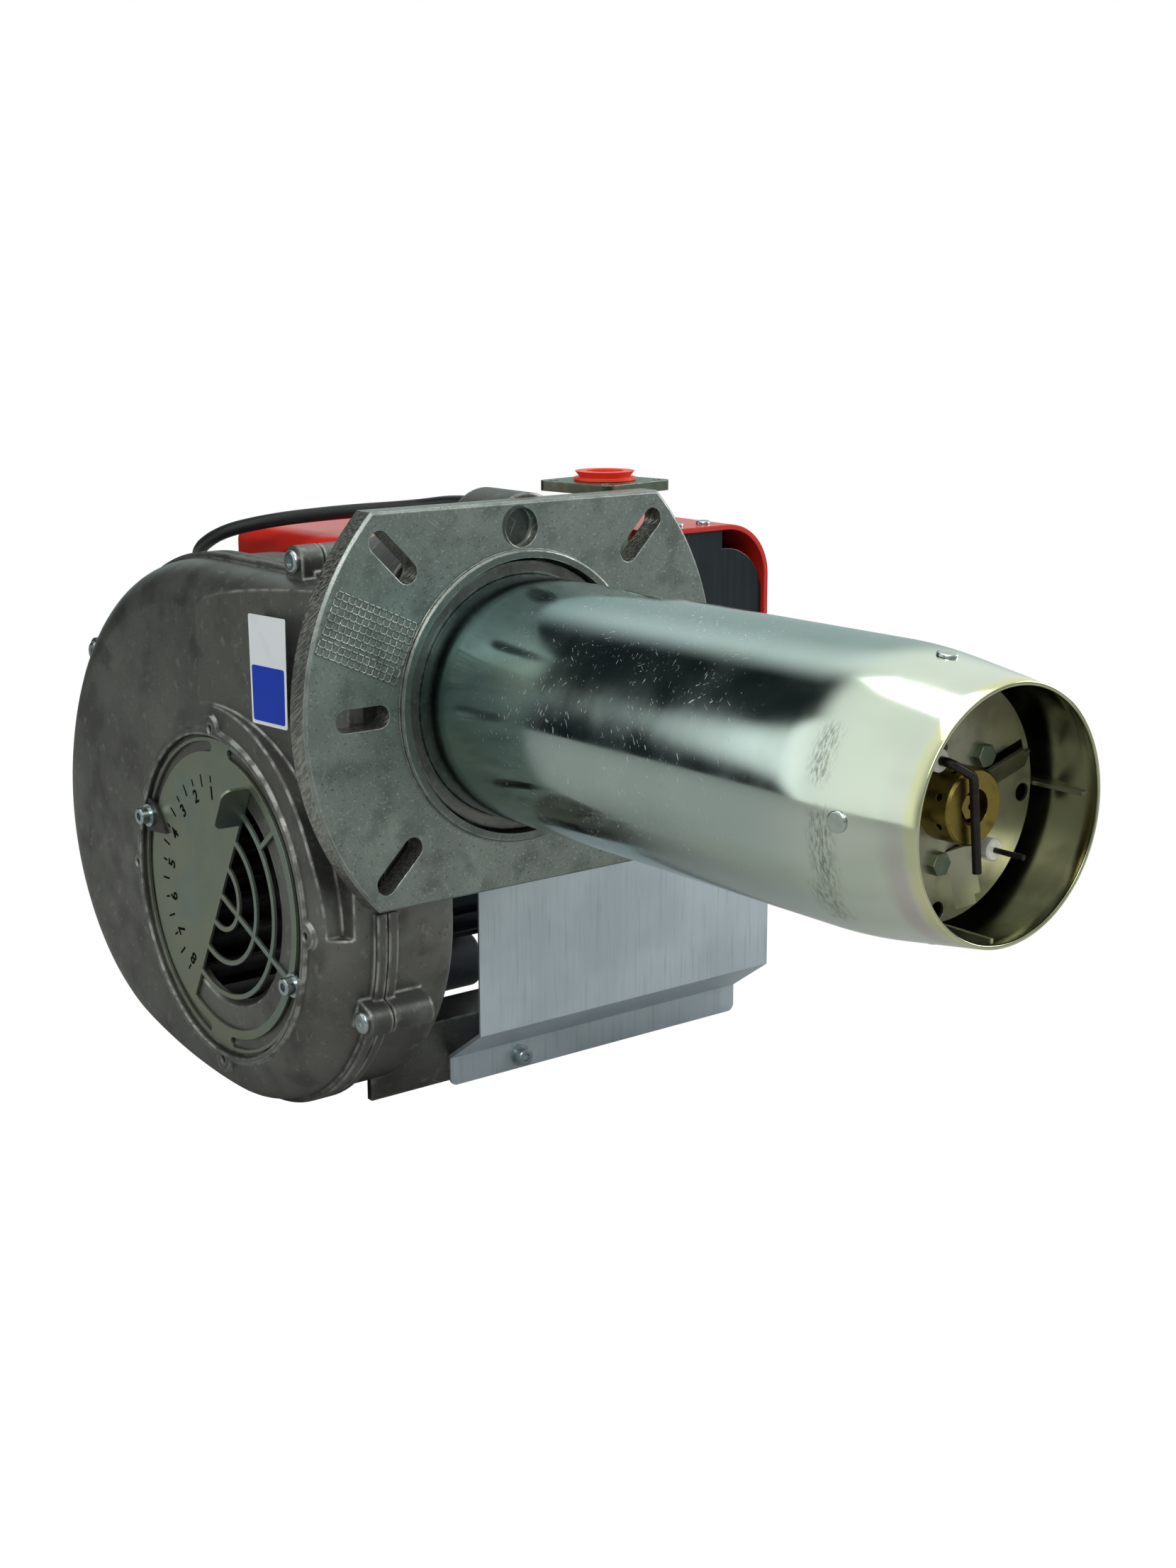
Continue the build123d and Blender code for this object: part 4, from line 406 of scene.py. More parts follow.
@dataclass(frozen=True)
class TubeFinish(Finish):
    """Bright zinc, bluer and darker towards the flange, a straw-coloured end, a darker olive inside, scuffs and dark
    smears. Towards the flange the darkening is partly a blue tint of the zinc and partly painted shade from the
    flange; inside it is partly discolouration and partly painted shade.

    Each span gives the places along the tube, in millimetres, where a look starts and where it is full.
    """

    root_tint_and_shade: Pair = (-120.0, -15.0)
    straw: Pair = (-200.0, -275.0)
    pink: tuple[Pair, Pair] = ((-276.0, -283.5), (-291.5, -286.5))
    underside: Pair = (12.0, -12.0)
    yellow: Pair = (-287.0, -292.5)
    scratched: tuple[Pair, Pair] = ((-235.0, -170.0), (-20.0, -70.0))
    scratches: tuple[tuple[float, Triple], ...] = ((2.0, (12, 0, 25)), (5.0, (40, 0, -20)), (11.0, (-25, 0, 60)))
    smears: tuple[Smear, ...] = ()

    def tint(self, graph: Graph, colour: Any, roughness: Any) -> tuple[Any, Any]:
        """Lay the passivation's colours along the tube, with painted shade towards the flange and inside the tube,
        and add its marks.
        """
        along = graph.axis("Y")
        place = graph.wander(along, 60.0, 30.0, 3.0)
        # painted shade: towards the flange the zinc is mixed to a darker blue, partly its blue tint and partly shade
        # from the flange
        root_tint_and_shade = graph.span(place, self.root_tint_and_shade)
        colour = graph.mix(graph.times(root_tint_and_shade, 0.8), colour, "#7d9c9e")
        colour = graph.mix(graph.times(graph.span(place, self.straw), 0.7), colour, "#eaf0df")
        edge = graph.wander(along, 18.0, 8.0, 6.0)
        below = graph.span(graph.axis("Z"), self.underside, 0.08, 0.4)
        pink = graph.times(graph.span(edge, self.pink[0]), graph.span(edge, self.pink[1]), below)
        colour = graph.mix(pink, colour, "#c49fae")
        colour = graph.mix(graph.span(edge, self.yellow, 0.0, 0.55), colour, "#e8df8d")
        # painted shade: the inside of the tube is mixed to a darker olive, partly discolouration and partly shade
        # inside the tube
        inside = graph.inward()
        bore_tint_and_shade = graph.mix(graph.step(graph.pattern(26.0, seed=4.0), 0.4, 0.65), "#b4b79a", "#8e9079")
        colour = graph.mix(inside, colour, bore_tint_and_shade)
        green = graph.step(graph.pattern(34.0, (1, 3, 1), 2.0, 8.0), 0.5, 0.7, 0.0, 0.35)
        colour = graph.mix(green, colour, "#bccbb0")
        roughness = graph.math("ADD", roughness, graph.times(root_tint_and_shade, 0.05))
        roughness = graph.math("ADD", roughness, graph.times(inside, 0.08))
        scratched = graph.times(*(graph.span(along, ends) for ends in self.scratched))
        for seed, turn in self.scratches:
            line = graph.step(graph.pattern(0.32, (1, 13, 13), 1.0, seed, turn=turn), 0.715, 0.745)
            zone = graph.step(graph.pattern(22.0, seed=seed + 1), 0.42, 0.58)
            mark = graph.times(line, zone, scratched)
            colour = graph.mix(graph.times(mark, 0.85), colour, "#f4f7f2")
            roughness = graph.math("ADD", roughness, graph.times(mark, 0.35))
        for smear in self.smears:
            colour, roughness = smear.lay(graph, colour, roughness)
        return colour, roughness


# the casting's light edge colour is partly rubbed metal and partly a painted highlight along its edges
CAST = Finish(
    "cast_aluminium", "#6a6a65", 0.85, 0.4,
    mottles=(Mottle("#8b8b86", 60, 0.42, 0.72, 0.5, rougher=-0.08),
             Mottle("#4a4945", 22, 0.48, 0.7, 0.6, detail=8),
             Mottle("#9c9c95", 5, 0.58, 0.72, 0.4, detail=8, rougher=-0.06),
             Mottle("#33332f", 1.6, 0.64, 0.74, 0.55), Mottle("#b9bab2", 0.8, 0.69, 0.75, 0.55, (1, 2.4, 1))),
    grains=(Grain(0.8, 0.08, detail=4), Grain(8.0, 0.25, detail=2)), wear_and_highlight=EdgeWearAndHighlight(2.2, "#d2d3cc", 0.95, 7))
FLANGE = FlangeFinish(
    "flange_casting", "#8b938d", 0.85, 0.38,
    mottles=(Mottle("#a7b0a9", 40, 0.45, 0.7, 0.5), Mottle("#6a726c", 14, 0.46, 0.7, 0.65, detail=8),
             Mottle("#c4cac3", 1.4, 0.58, 0.7, 0.5, detail=5), Mottle("#4b504c", 1.1, 0.6, 0.71, 0.65)),
    grains=(Grain(0.7, 0.06), Grain(5.0, 0.1)), wear_and_highlight=EdgeWearAndHighlight(0.8, "#ccd1cb", 0.8, 5))
TUBE = TubeFinish(
    "tube_zinc", "#c6d6d1", 1.0, 0.12,
    mottles=(Mottle("#b6c8c3", 45, 0.4, 0.7, 0.4), Mottle("#d2dcd6", 12, 0.5, 0.7, 0.25)),
    grains=(Grain(3.0, 0.002, (1, 4, 1)), Grain(40.0, 0.03)),
    smears=(Smear((-60, -254, 13), (-44, -246, 32), share=0.65), Smear((-60, -258, -30), (-48, -248, 3)),
            Smear((-54, -254, -45), (-34, -242, -27), share=0.5)))
RIVET = Finish(
    "rivet_zinc", "#c3ccc6", 1.0, 0.22, mottles=(Mottle("#a9b3a8", 4, 0.45, 0.7, 0.4),),
    grains=(Grain(1.0, 0.01),), wear_and_highlight=EdgeWearAndHighlight(0.3, "#e6ebe6", 0.6, 3))
YELLOWED = Finish(
    "yellowed_zinc", "#6e7a6c", 1.0, 0.3,
    mottles=(Mottle("#85927f", 6, 0.45, 0.7, 0.5), Mottle("#7f7c56", 9, 0.5, 0.75, 0.4)),
    grains=(Grain(1.0, 0.01),), wear_and_highlight=EdgeWearAndHighlight(0.4, "#d6ddd0", 0.7, 3))
ZINC = Finish(
    "bright_zinc", "#b9c2c4", 1.0, 0.24, mottles=(Mottle("#95a0a4", 4, 0.45, 0.7, 0.4),),
    grains=(Grain(1.0, 0.01),), wear_and_highlight=EdgeWearAndHighlight(0.3, "#eef1f2", 0.6, 3))
DAMPER = Finish(
    "damper_zinc", "#8a917f", 0.85, 0.4,
    mottles=(Mottle("#7d8a80", 22, 0.42, 0.7, 0.5), Mottle("#98987c", 14, 0.5, 0.75, 0.4),
             Mottle("#7f9592", 60, 0.5, 0.7, 0.6)),
    grains=(Grain(0.7, 0.006, (1, 4, 1)),), wear_and_highlight=EdgeWearAndHighlight(0.35, "#c3cbbd", 0.6, 4))
POINTER = Finish(
    "pointer_black", "#232422", 0.2, 0.42, mottles=(Mottle("#3a3b38", 5, 0.5, 0.7, 0.4),),
    wear_and_highlight=EdgeWearAndHighlight(0.3, "#77786f", 0.4, 3))
GALVANISED = Finish(
    "galvanised_sheet", "#d3dfe6", 0.65, 0.42,
    mottles=(Mottle("#c8d4da", 2.6, 0.42, 0.7, 0.35, (1, 1, 26)),
             Mottle("#9aa7ae", 1.8, 0.52, 0.75, 0.35, (1, 1, 20)), Mottle("#aab8c0", 60, 0.45, 0.7, 0.4)),
    grains=(Grain(1.4, 0.012, (1, 1, 24)),), wear_and_highlight=EdgeWearAndHighlight(0.3, "#c9d2d6", 0.6, 4))
# painted shade: a dark copy of the galvanised sheet, for the hood bracket that sits in shade
GALVANISED_SHADED = Finish(
    "galvanised_painted_shade", "#33393d", 0.8, 0.34,
    mottles=(Mottle("#40474c", 2.6, 0.42, 0.7, 0.35, (1, 1, 26)), Mottle("#2a2f32", 40, 0.45, 0.7, 0.5)),
    grains=(Grain(1.4, 0.01, (1, 1, 24)),), wear_and_highlight=EdgeWearAndHighlight(0.3, "#c9d2d6", 0.6, 4))
HOOD_RED = Finish(
    "hood_red", "#cf2a1f", 0.0, 0.26,
    mottles=(Mottle("#b92118", 60, 0.45, 0.7, 0.4), Mottle("#dd5044", 1.6, 0.74, 0.8, 0.3)),
    grains=(Grain(1.4, 0.006), Grain(26, 0.05)), wear_and_highlight=EdgeWearAndHighlight(0.8, "#cc3a30", 0.35, 12, 0.0), coat=0.3)
PLUG_RED = Finish(
    "plug_red", "#ee4630", 0.0, 0.36,
    mottles=(Mottle("#de3b26", 8, 0.45, 0.7, 0.5),), grains=(Grain(0.8, 0.01),),
    wear_and_highlight=EdgeWearAndHighlight(0.4, "#e86656", 0.4, 4, 0.0))
HEAD_STEEL = Finish(
    "head_steel", "#b5b3a0", 1.0, 0.38,
    mottles=(Mottle("#8f8d7e", 12, 0.45, 0.7, 0.6), Mottle("#b3a685", 16, 0.55, 0.75, 0.35)),
    grains=(Grain(1.2, 0.015),), wear_and_highlight=EdgeWearAndHighlight(0.3, "#d2d1ca", 0.6, 3))
BRASS = Finish(
    "brass", "#948142", 1.0, 0.34,
    mottles=(Mottle("#5b4d27", 6, 0.5, 0.75, 0.6), Mottle("#8d7c45", 3, 0.55, 0.75, 0.5)),
    grains=(Grain(0.8, 0.012),), wear_and_highlight=EdgeWearAndHighlight(0.3, "#c9ba7f", 0.6, 2))
ELECTRODE = Finish(
    "electrode_wire", "#2c2a27", 0.7, 0.4, mottles=(Mottle("#443e37", 4, 0.5, 0.7, 0.5),), grains=(Grain(0.8, 0.02),))
CERAMIC = Finish(
    "white_ceramic", "#f4f2ea", 0.0, 0.24, mottles=(Mottle("#cfc9ba", 6, 0.5, 0.75, 0.5),), coat=0.4,
    wear_and_highlight=EdgeWearAndHighlight(0.3, "#f4f2ec", 0.3, 3))
FAN_METAL = Finish(
    "fan_metal", "#8c8f8c", 0.9, 0.4, mottles=(Mottle("#6f726f", 10, 0.45, 0.7, 0.5),), grains=(Grain(1.0, 0.01),))
MOTOR_BLACK = Finish(
    "motor_black", "#1e1f21", 0.1, 0.45, mottles=(Mottle("#2f3032", 12, 0.45, 0.7, 0.5),),
    grains=(Grain(0.8, 0.03),), wear_and_highlight=EdgeWearAndHighlight(0.5, "#5d5e60", 0.35, 4))
RUBBER = Finish(
    "black_rubber", "#17181a", 0.0, 0.36, mottles=(Mottle("#252527", 10, 0.45, 0.7, 0.5),),
    grains=(Grain(0.7, 0.01),))
GREY = Finish(
    "control_grey", "#4c4f53", 0.0, 0.42, mottles=(Mottle("#404347", 12, 0.45, 0.7, 0.5),),
    grains=(Grain(0.7, 0.02),), wear_and_highlight=EdgeWearAndHighlight(0.4, "#6f7174", 0.3, 4, 0.0))
BUTTON = Finish("button_red", "#b3261c", 0.0, 0.2, coat=0.5, mottles=(Mottle("#9c1f17", 6, 0.5, 0.7, 0.4),))
SOCKET = Finish(
    "socket_black", "#191a1b", 0.0, 0.4, mottles=(Mottle("#29292b", 8, 0.45, 0.7, 0.5),),
    grains=(Grain(0.6, 0.015),), wear_and_highlight=EdgeWearAndHighlight(0.4, "#4a4a4c", 0.3, 3, 0.0))
SEAL = Finish(
    "fibre_seal", "#33322f", 0.0, 0.8, mottles=(Mottle("#4a4843", 2, 0.45, 0.7, 0.6),), grains=(Grain(0.8, 0.05),))
INK = Finish("stamped_black", "#090a08", 0.0, 0.8, mottles=(Mottle("#131512", 2, 0.5, 0.7, 0.5),), specular=0.05)
LABEL_WHITE = Finish(
    "plate_white", "#eceff3", 0.0, 0.5, mottles=(Mottle("#e2e6eb", 14, 0.5, 0.7, 0.5),), specular=0.3)
LABEL_BLUE = Finish("plate_blue", "#143bb4", 0.0, 0.5, mottles=(Mottle("#1236a4", 14, 0.5, 0.7, 0.5),), specular=0.25)


@dataclass
class Bench:
    """Keeps the made materials, dresses the solids and adds pieces."""

    made: dict[str, bpy.types.Material] = field(default_factory=dict)

    def material(self, finish: Finish) -> bpy.types.Material:
        """Return the finish's material, made on first use."""
        if finish.name not in self.made:
            self.made[finish.name] = finish.material()
        return self.made[finish.name]

    def dress(self, finish: Finish, *nodes: str) -> None:
        """Give solids of the frame a finish in their objects' slots.

        Args:
            finish: The finish.
            *nodes: Names of the frame's solids.
        """
        for name in nodes:
            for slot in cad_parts[name].material_slots:
                slot.link = "OBJECT"
                slot.material = self.material(finish)
            log.info("dressed %s in %s", name, finish.name)

    def piece(self, name: str, mesh: bpy.types.Mesh, finish: Finish, body: Body) -> bpy.types.Object:
        """Add a piece with its place in its mesh.

        Args:
            name: The piece's name.
            mesh: Its mesh in the frame's metres.
            finish: Its finish.
            body: The body it rides on.

        Returns:
            The new object.
        """
        made = bpy.data.objects.new(name, mesh)
        bpy.context.scene.collection.objects.link(made)
        mesh.materials.append(self.material(finish))
        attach(made, body.value)
        log.info("made %s with %d faces", name, len(mesh.polygons))
        return made


def as_mesh(name: str, shape: bmesh.types.BMesh, smooth: bool = False) -> bpy.types.Mesh:
    """Turn a bmesh into a mesh and free it.

    Args:
        name: The mesh's name.
        shape: The bmesh.
        smooth: Whether its faces are shaded smooth.

    Returns:
        The mesh.
    """
    for face in shape.faces:
        face.smooth = smooth
    mesh = bpy.data.meshes.new(name)
    shape.to_mesh(mesh)
    shape.free()
    return mesh


def soften(shape: bmesh.types.BMesh, edges: Iterable[bmesh.types.BMEdge], width: float, segments: int) -> None:
    """Bevel some edges by a width in millimetres."""
    bmesh.ops.bevel(shape, geom=list(edges), offset=width * MM, offset_type="OFFSET", affect="EDGES",
                    segments=segments, profile=0.5, material=-1, clamp_overlap=True)


def bar(shape: bmesh.types.BMesh, place: Matrix, size: Triple) -> None:
    """Add a bar of a size in millimetres, centred on a place in metres."""
    scale = Matrix.Diagonal((size[0] * MM, size[1] * MM, size[2] * MM, 1.0))
    bmesh.ops.create_cube(shape, size=1.0, matrix=place @ scale)


CAPITAL = 0.7
BOLDER = 0.028


def lettering(text: str, height: float, depth: float, place: Matrix, shape: bmesh.types.BMesh) -> None:
    """Add a plain number to a bmesh, a little bolder than the built-in font.

    CAPITAL is a numeral's height as a share of the font's size, and BOLDER its growth as a share of its height.

    Args:
        text: The number.
        height: Its height in millimetres.
        depth: Its thickness in millimetres.
        place: Where its middle goes, with its face along the matrix's Z.
        shape: The bmesh that it is added to.
    """
    curve = bpy.data.curves.new("number", "FONT")
    curve.body = text
    curve.size = height * MM / CAPITAL
    curve.extrude = depth * MM / 2
    curve.offset = BOLDER * height * MM
    curve.resolution_u = 3
    holder = bpy.data.objects.new("number", curve)
    bpy.context.scene.collection.objects.link(holder)
    bpy.context.view_layer.update()
    mesh = bpy.data.meshes.new_from_object(holder.evaluated_get(bpy.context.evaluated_depsgraph_get()))
    corners = [v.co for v in mesh.vertices]
    middle = (Vector(map(min, *corners)) + Vector(map(max, *corners))) / 2
    mesh.transform(place @ Matrix.Translation(-middle))
    shape.from_mesh(mesh)
    bpy.data.objects.remove(holder)
    bpy.data.curves.remove(curve)
    bpy.data.meshes.remove(mesh)


@dataclass
class Housing:
    """The two die-cast halves of the scroll with their screws, seal and blank plate."""

    side_x: float = -98.5
    plate_corners: tuple[Pair, ...] = ((78.5, 38.8), (45.2, 39.8), (46.0, -11.0), (77.7, -12.1))
    plate_thick: float = 0.2
    plate_round: float = 1.2
    split: float = 0.46
    low_margin: float = 0.035
    side_margin: float = 0.056

    def build(self, bench: Bench) -> None:
        """Dress the castings and put the blank two-tone plate on the side."""
        bench.dress(CAST, "intake_housing", "motor_housing", "chamber_cover")
        bench.dress(SEAL, "housing_seal", "flange_seal")
        bench.dress(ZINC, "housing_screws", "cover_screws", "flange_screws")
        self.plate(bench, "blank_plate", LABEL_WHITE, 0.0, (0.0, 1.0), 0.0)
        rows = (self.split, 1.0 - self.low_margin)
        self.plate(bench, "blank_plate_field", LABEL_BLUE, self.plate_thick, rows, self.side_margin)

    def plate(self, bench: Bench, name: str, finish: Finish, off: float, span: Pair, margin: float) -> None:
        """Lay one layer of the blank plate on the casting's side.

        Args:
            bench: Where materials and pieces are made.
            name: The piece's name.
            finish: The layer's finish.
            off: Its distance from the casting in millimetres.
            span: Shares of the height from the top where it starts and ends.
            margin: Share of the width left free at each side.
        """
        places = [Vector((self.side_x - off, y, z)) * MM for y, z in self.plate_corners]
        rear_top, front_top, front_low, rear_low = places
        shape = bmesh.new()
        rows = [(rear_top.lerp(rear_low, t), front_top.lerp(front_low, t)) for t in span]
        rows = [(a.lerp(b, margin), b.lerp(a, margin)) for a, b in rows]
        corners = [rows[0][0], rows[0][1], rows[1][1], rows[1][0]]
        face = shape.faces.new([shape.verts.new(c) for c in corners])
        made = bmesh.ops.extrude_face_region(shape, geom=[face])["geom"]
        lift = Vector((-self.plate_thick * MM, 0, 0))
        bmesh.ops.translate(shape, vec=lift, verts=[v for v in made if isinstance(v, bmesh.types.BMVert)])
        through = [e for e in shape.edges if abs((e.verts[0].co - e.verts[1].co).normalized().x) > 0.9]
        soften(shape, through, self.plate_round, 3)
        bmesh.ops.recalc_face_normals(shape, faces=shape.faces[:])
        bench.piece(name, as_mesh(name, shape), finish, Body.BASE)


@dataclass
class Flange:
    """The slotted boiler flange with its cast marking grid, a tall field of rows over a low one."""

    origin: Pair = (-98.4, 57.8)
    across: Pair = (-58.1, 39.5)
    down: Pair = (-110.6, 31.7)
    columns: int = 13
    upper_rows: tuple[float, ...] = (0.0, 0.115, 0.23, 0.345, 0.46, 0.575, 0.69)
    lower_rows: tuple[float, ...] = (0.765, 0.88, 1.0)
    line: float = 0.6
    height: float = 0.6

    def build(self, bench: Bench) -> None:
        """Dress the flange and raise the grid's lines on it."""
        bench.dress(FLANGE, "mounting_flange")
        shape = bmesh.new()
        corner, right, low = (Vector((x, 0, z)) for x, z in (self.origin, self.across, self.down))
        right -= corner
        low -= corner
        for share in self.upper_rows + self.lower_rows:
            self.ridge(shape, corner + low * share, corner + low * share + right)
        for index in range(self.columns + 1):
            start = corner + right * (index / self.columns)
            for rows in (self.upper_rows, self.lower_rows):
                self.ridge(shape, start + low * rows[0], start + low * rows[-1])
        bench.piece("flange_grid", as_mesh("flange_grid", shape), FLANGE, Body.BASE)

    def ridge(self, shape: bmesh.types.BMesh, start: Vector, end: Vector) -> None:
        """Raise one line between two points in millimetres."""
        run = end - start
        turn = Matrix.Rotation(math.atan2(-run.z, run.x), 4, "Y")
        place = Matrix.Translation((start + end) / 2 * MM + Vector((0, -self.height / 2 * MM, 0)))
        bar(shape, place @ turn, (run.length + self.line, self.height, self.line))


@dataclass
class BlastTube:
    """The flame tube, its rivets and the strips that centre the head.

    The tube starts behind the flange, runs straight, bends by an angle and tapers to its end.
    """

    radius: float = 56.5
    wall: float = 1.5
    back: float = 36.0
    reach: float = 294.7
    straight: float = 229.8
    bend: float = 200.0
    bend_steps: int = 12
    angle: float = 8.5
    lip: float = 0.35
    turns: int = 144
    spacing: float = 6.0

    def build(self, bench: Bench) -> None:
        """Dress the tube's fittings and spin a finely divided tube in place of the solid."""
        bench.dress(TUBE, "blast_tube")
        bench.dress(RIVET, "tube_rivets")
        bench.dress(HEAD_STEEL, "tube_guides")
        outer = self.run(0.0, self.lip)
        inner = self.run(self.wall, -self.lip)
        shape = bmesh.new()
        corners = [shape.verts.new((r * MM, y * MM, 0)) for r, y in outer + inner[::-1]]
        edges = [shape.edges.new(pair) for pair in zip(corners, corners[1:] + corners[:1])]
        bmesh.ops.spin(shape, geom=corners + edges, cent=(0, 0, 0), axis=(0, 1, 0), dvec=(0, 0, 0),
                       angle=2 * math.pi, steps=self.turns, use_merge=True, use_duplicate=False)
        bmesh.ops.recalc_face_normals(shape, faces=shape.faces[:])
        tube = bench.piece("flame_tube", as_mesh("flame_tube", shape, smooth=True), TUBE, Body.BASE)
        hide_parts("blast_tube")

    def run(self, inset: float, lip: float) -> list[Pair]:
        """Give one side of the wall as a line of radius and Y in millimetres.

        Args:
            inset: How far the line lies within the tube's outside.
            lip: Size of the softened edge at the end, above 0 outside and below 0 inside.

        Returns:
            The line's points from the back to the end.
        """
        centre = self.radius - self.bend
        turn = math.radians(self.angle)
        bend = self.bend - inset
        length = self.back + self.straight
        rows = int(length / self.spacing)
        points = [(self.radius - inset, self.back - length * index / rows) for index in range(rows)]
        for index in range(self.bend_steps + 1):
            at = turn * index / self.bend_steps
            points.append((centre + bend * math.cos(at), -self.straight - bend * math.sin(at)))
        last, start = points[-1]
        length = self.reach + start
        rows = int(length / self.spacing)
        for index in range(1, rows):
            ahead = length * index / rows
            points.append((last - ahead * math.tan(turn), start - ahead))
        tip = last - length * math.tan(turn)
        points += [(tip + lip * math.tan(turn), self.lip - self.reach), (tip - lip * 0.3, 0.1 - self.reach)]
        return points + [(tip - lip, -self.reach)]


@dataclass
class Damper:
    """The turning air damper with its printed scale, pointer and screws.

    Angles run in degrees from the flame's side over the top.
    """

    centre: Pair = (118.0, -105.0)
    face_x: float = -97.3
    first: float = 96.0
    last: float = 231.5
    numbers: int = 8
    number_r: float = 50.8
    number_high: float = 6.5
    whole_r: float = 57.6
    half_r: float = 57.0
    whole_long: float = 3.4
    half_long: float = 6.2
    tick_wide: float = 0.95
    ink: float = 0.12

    def build(self, bench: Bench) -> None:
        """Dress the damper's solids and print its scale."""
        bench.dress(DAMPER, "air_damper")
        bench.dress(POINTER, "damper_pointer")
        bench.dress(ZINC, "damper_screws")
        shape = bmesh.new()
        pitch = (self.last - self.first) / (self.numbers - 1)
        for index in range(2 * self.numbers - 1):
            angle = self.first + pitch * index / 2
            half = index % 2 == 1
            radius, length = (self.half_r, self.half_long) if half else (self.whole_r, self.whole_long)
            bar(shape, self.place(angle, radius), (self.tick_wide, length, self.ink))
            if not half:
                middle = self.place(angle, self.number_r)
                lettering(str(1 + index // 2), self.number_high, self.ink, middle, shape)
        bmesh.ops.recalc_face_normals(shape, faces=shape.faces[:])
        bench.piece("damper_scale", as_mesh("damper_scale", shape), INK, Body.DAMPER)

    def place(self, angle: float, radius: float) -> Matrix:
        """Give a place on the damper's face, with Y outwards and Z off the face.

        Args:
            angle: Degrees from the flame's side over the top.
            radius: Distance from the damper's centre in millimetres.

        Returns:
            The place as a matrix in metres.
        """
        turn = math.radians(angle)
        outward = Vector((0, -math.cos(turn), math.sin(turn)))
        off = Vector((-1, 0, 0))
        side = outward.cross(off)
        point = Vector((self.face_x - self.ink / 2, self.centre[0], self.centre[1])) + outward * radius
        turned = Matrix((side, outward, off)).transposed().to_4x4()
        return Matrix.Translation(point * MM) @ turned


@dataclass
class Head:
    """The combustion head in the tube: disc, nozzle, electrodes and adjuster."""

    def build(self, bench: Bench) -> None:
        """Dress the head's solids."""
        bench.dress(HEAD_STEEL, "diffuser_disc", "head_spider", "gas_tube")
        bench.dress(YELLOWED, "diffuser_bolts", "adjuster_rod")
        bench.dress(BRASS, "gas_nozzle", "nozzle_jet", "adjuster_knob")
        bench.dress(CERAMIC, "electrode_insulators")
        bench.dress(ELECTRODE, "ignition_electrode", "sensing_electrode")


@dataclass
class Motor:
    """The fan and the motor that drives it."""

    def build(self, bench: Bench) -> None:
        """Dress the fan and the motor."""
        bench.dress(FAN_METAL, "fan_wheel", "fan_hub")
        bench.dress(ZINC, "motor_shaft", "motor_screws", "motor_bearings", "capacitor_clip")
        bench.dress(HEAD_STEEL, "motor_rotor")
        bench.dress(MOTOR_BLACK, "motor_front_shield", "motor_stator", "motor_rear_shield")
        bench.dress(GREY, "motor_capacitor")


@dataclass
class SheetWork:
    """The zinc-coated shield, bracket, tray and their screws."""

    def build(self, bench: Bench) -> None:
        """Dress the sheet metal."""
        bench.dress(GALVANISED, "heat_shield", "component_tray", "tray_posts")
        # the hood bracket gets the galvanised sheet darkened as painted shade
        bench.dress(GALVANISED_SHADED, "hood_bracket")
        bench.dress(ZINC, "lip_screw", "hood_screws")


@dataclass
class Hood:
    """The red hood and the electrical parts under it."""

    def build(self, bench: Bench) -> None:
        """Dress the hood, the controls and the socket."""
        bench.dress(HOOD_RED, "hood")
        bench.dress(GREY, "control_box", "pressure_switch")
        bench.dress(BUTTON, "reset_button")
        bench.dress(MOTOR_BLACK, "ignition_transformer")
        bench.dress(BRASS, "pressure_dial")
        bench.dress(SOCKET, "plug_socket")


@dataclass
class GasTrain:
    """The gas inlet: plate, pipe, elbow, manifold and transport plug."""

    def build(self, bench: Bench) -> None:
        """Dress the gas line."""
        bench.dress(YELLOWED, "gas_inlet_plate", "gas_pipe")
        bench.dress(ZINC, "elbow_screws")
        bench.dress(CAST, "gas_elbow", "gas_manifold")
        bench.dress(PLUG_RED, "protective_plug")


@dataclass
class IgnitionLead:
    """The ignition lead from the transformer over the hood to the chamber."""

    radius: float = 3.5
    points: tuple[Triple, ...] = (
        (6, 208, 8), (6, 244, 8), (-22, 256, 28), (-44, 232, 48), (-46, 198, 62), (-34, 165, 70),
        (-10, 134, 75), (8, 102, 78.5), (13, 70, 83.5), (13, 34, 83.5))
    arc_share: float = 0.45
    step: float = 1.5

    def build(self, bench: Bench) -> None:
        bench.dress(RUBBER, "lead_grommets")
        path = self.route()
        curve = bpy.data.curves.new("ignition_cable", "CURVE")
        curve.dimensions = "3D"
        curve.bevel_depth = self.radius * MM
        curve.bevel_resolution = 5
        curve.use_fill_caps = True
        line = curve.splines.new("POLY")
        line.points.add(len(path) - 1)
        for point, place in zip(line.points, path):
            point.co = (*place, 1.0)
        made = bpy.data.objects.new("ignition_cable", curve)
        bpy.context.scene.collection.objects.link(made)
        curve.materials.append(bench.material(RUBBER))
        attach(made, Body.BASE.value)
        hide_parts("ignition_lead")

    def route(self) -> list[Vector]:
        """Return the centreline in metres: straight runs joined by tangent arcs, cut into short steps."""
        corners = [Vector(p) * MM for p in self.points]
        path = [corners[0]]
        for before, corner, after in zip(corners, corners[1:], corners[2:]):
            into, out = (corner - before), (after - corner)
            turn = into.angle(out)
            cut = self.arc_share * min(into.length, out.length)
            radius = cut / math.tan(turn / 2)
            into.normalize()
            out.normalize()
            side = (out - into * out.dot(into)).normalized()
            start = corner - into * cut
            centre = start + side * radius
            steps = max(int(radius * turn / (self.step * MM)), 4)
            for index in range(steps + 1):
                angle = turn * index / steps
                path.append(centre - side * radius * math.cos(angle) + into * radius * math.sin(angle))
        path.append(corners[-1])
        return path


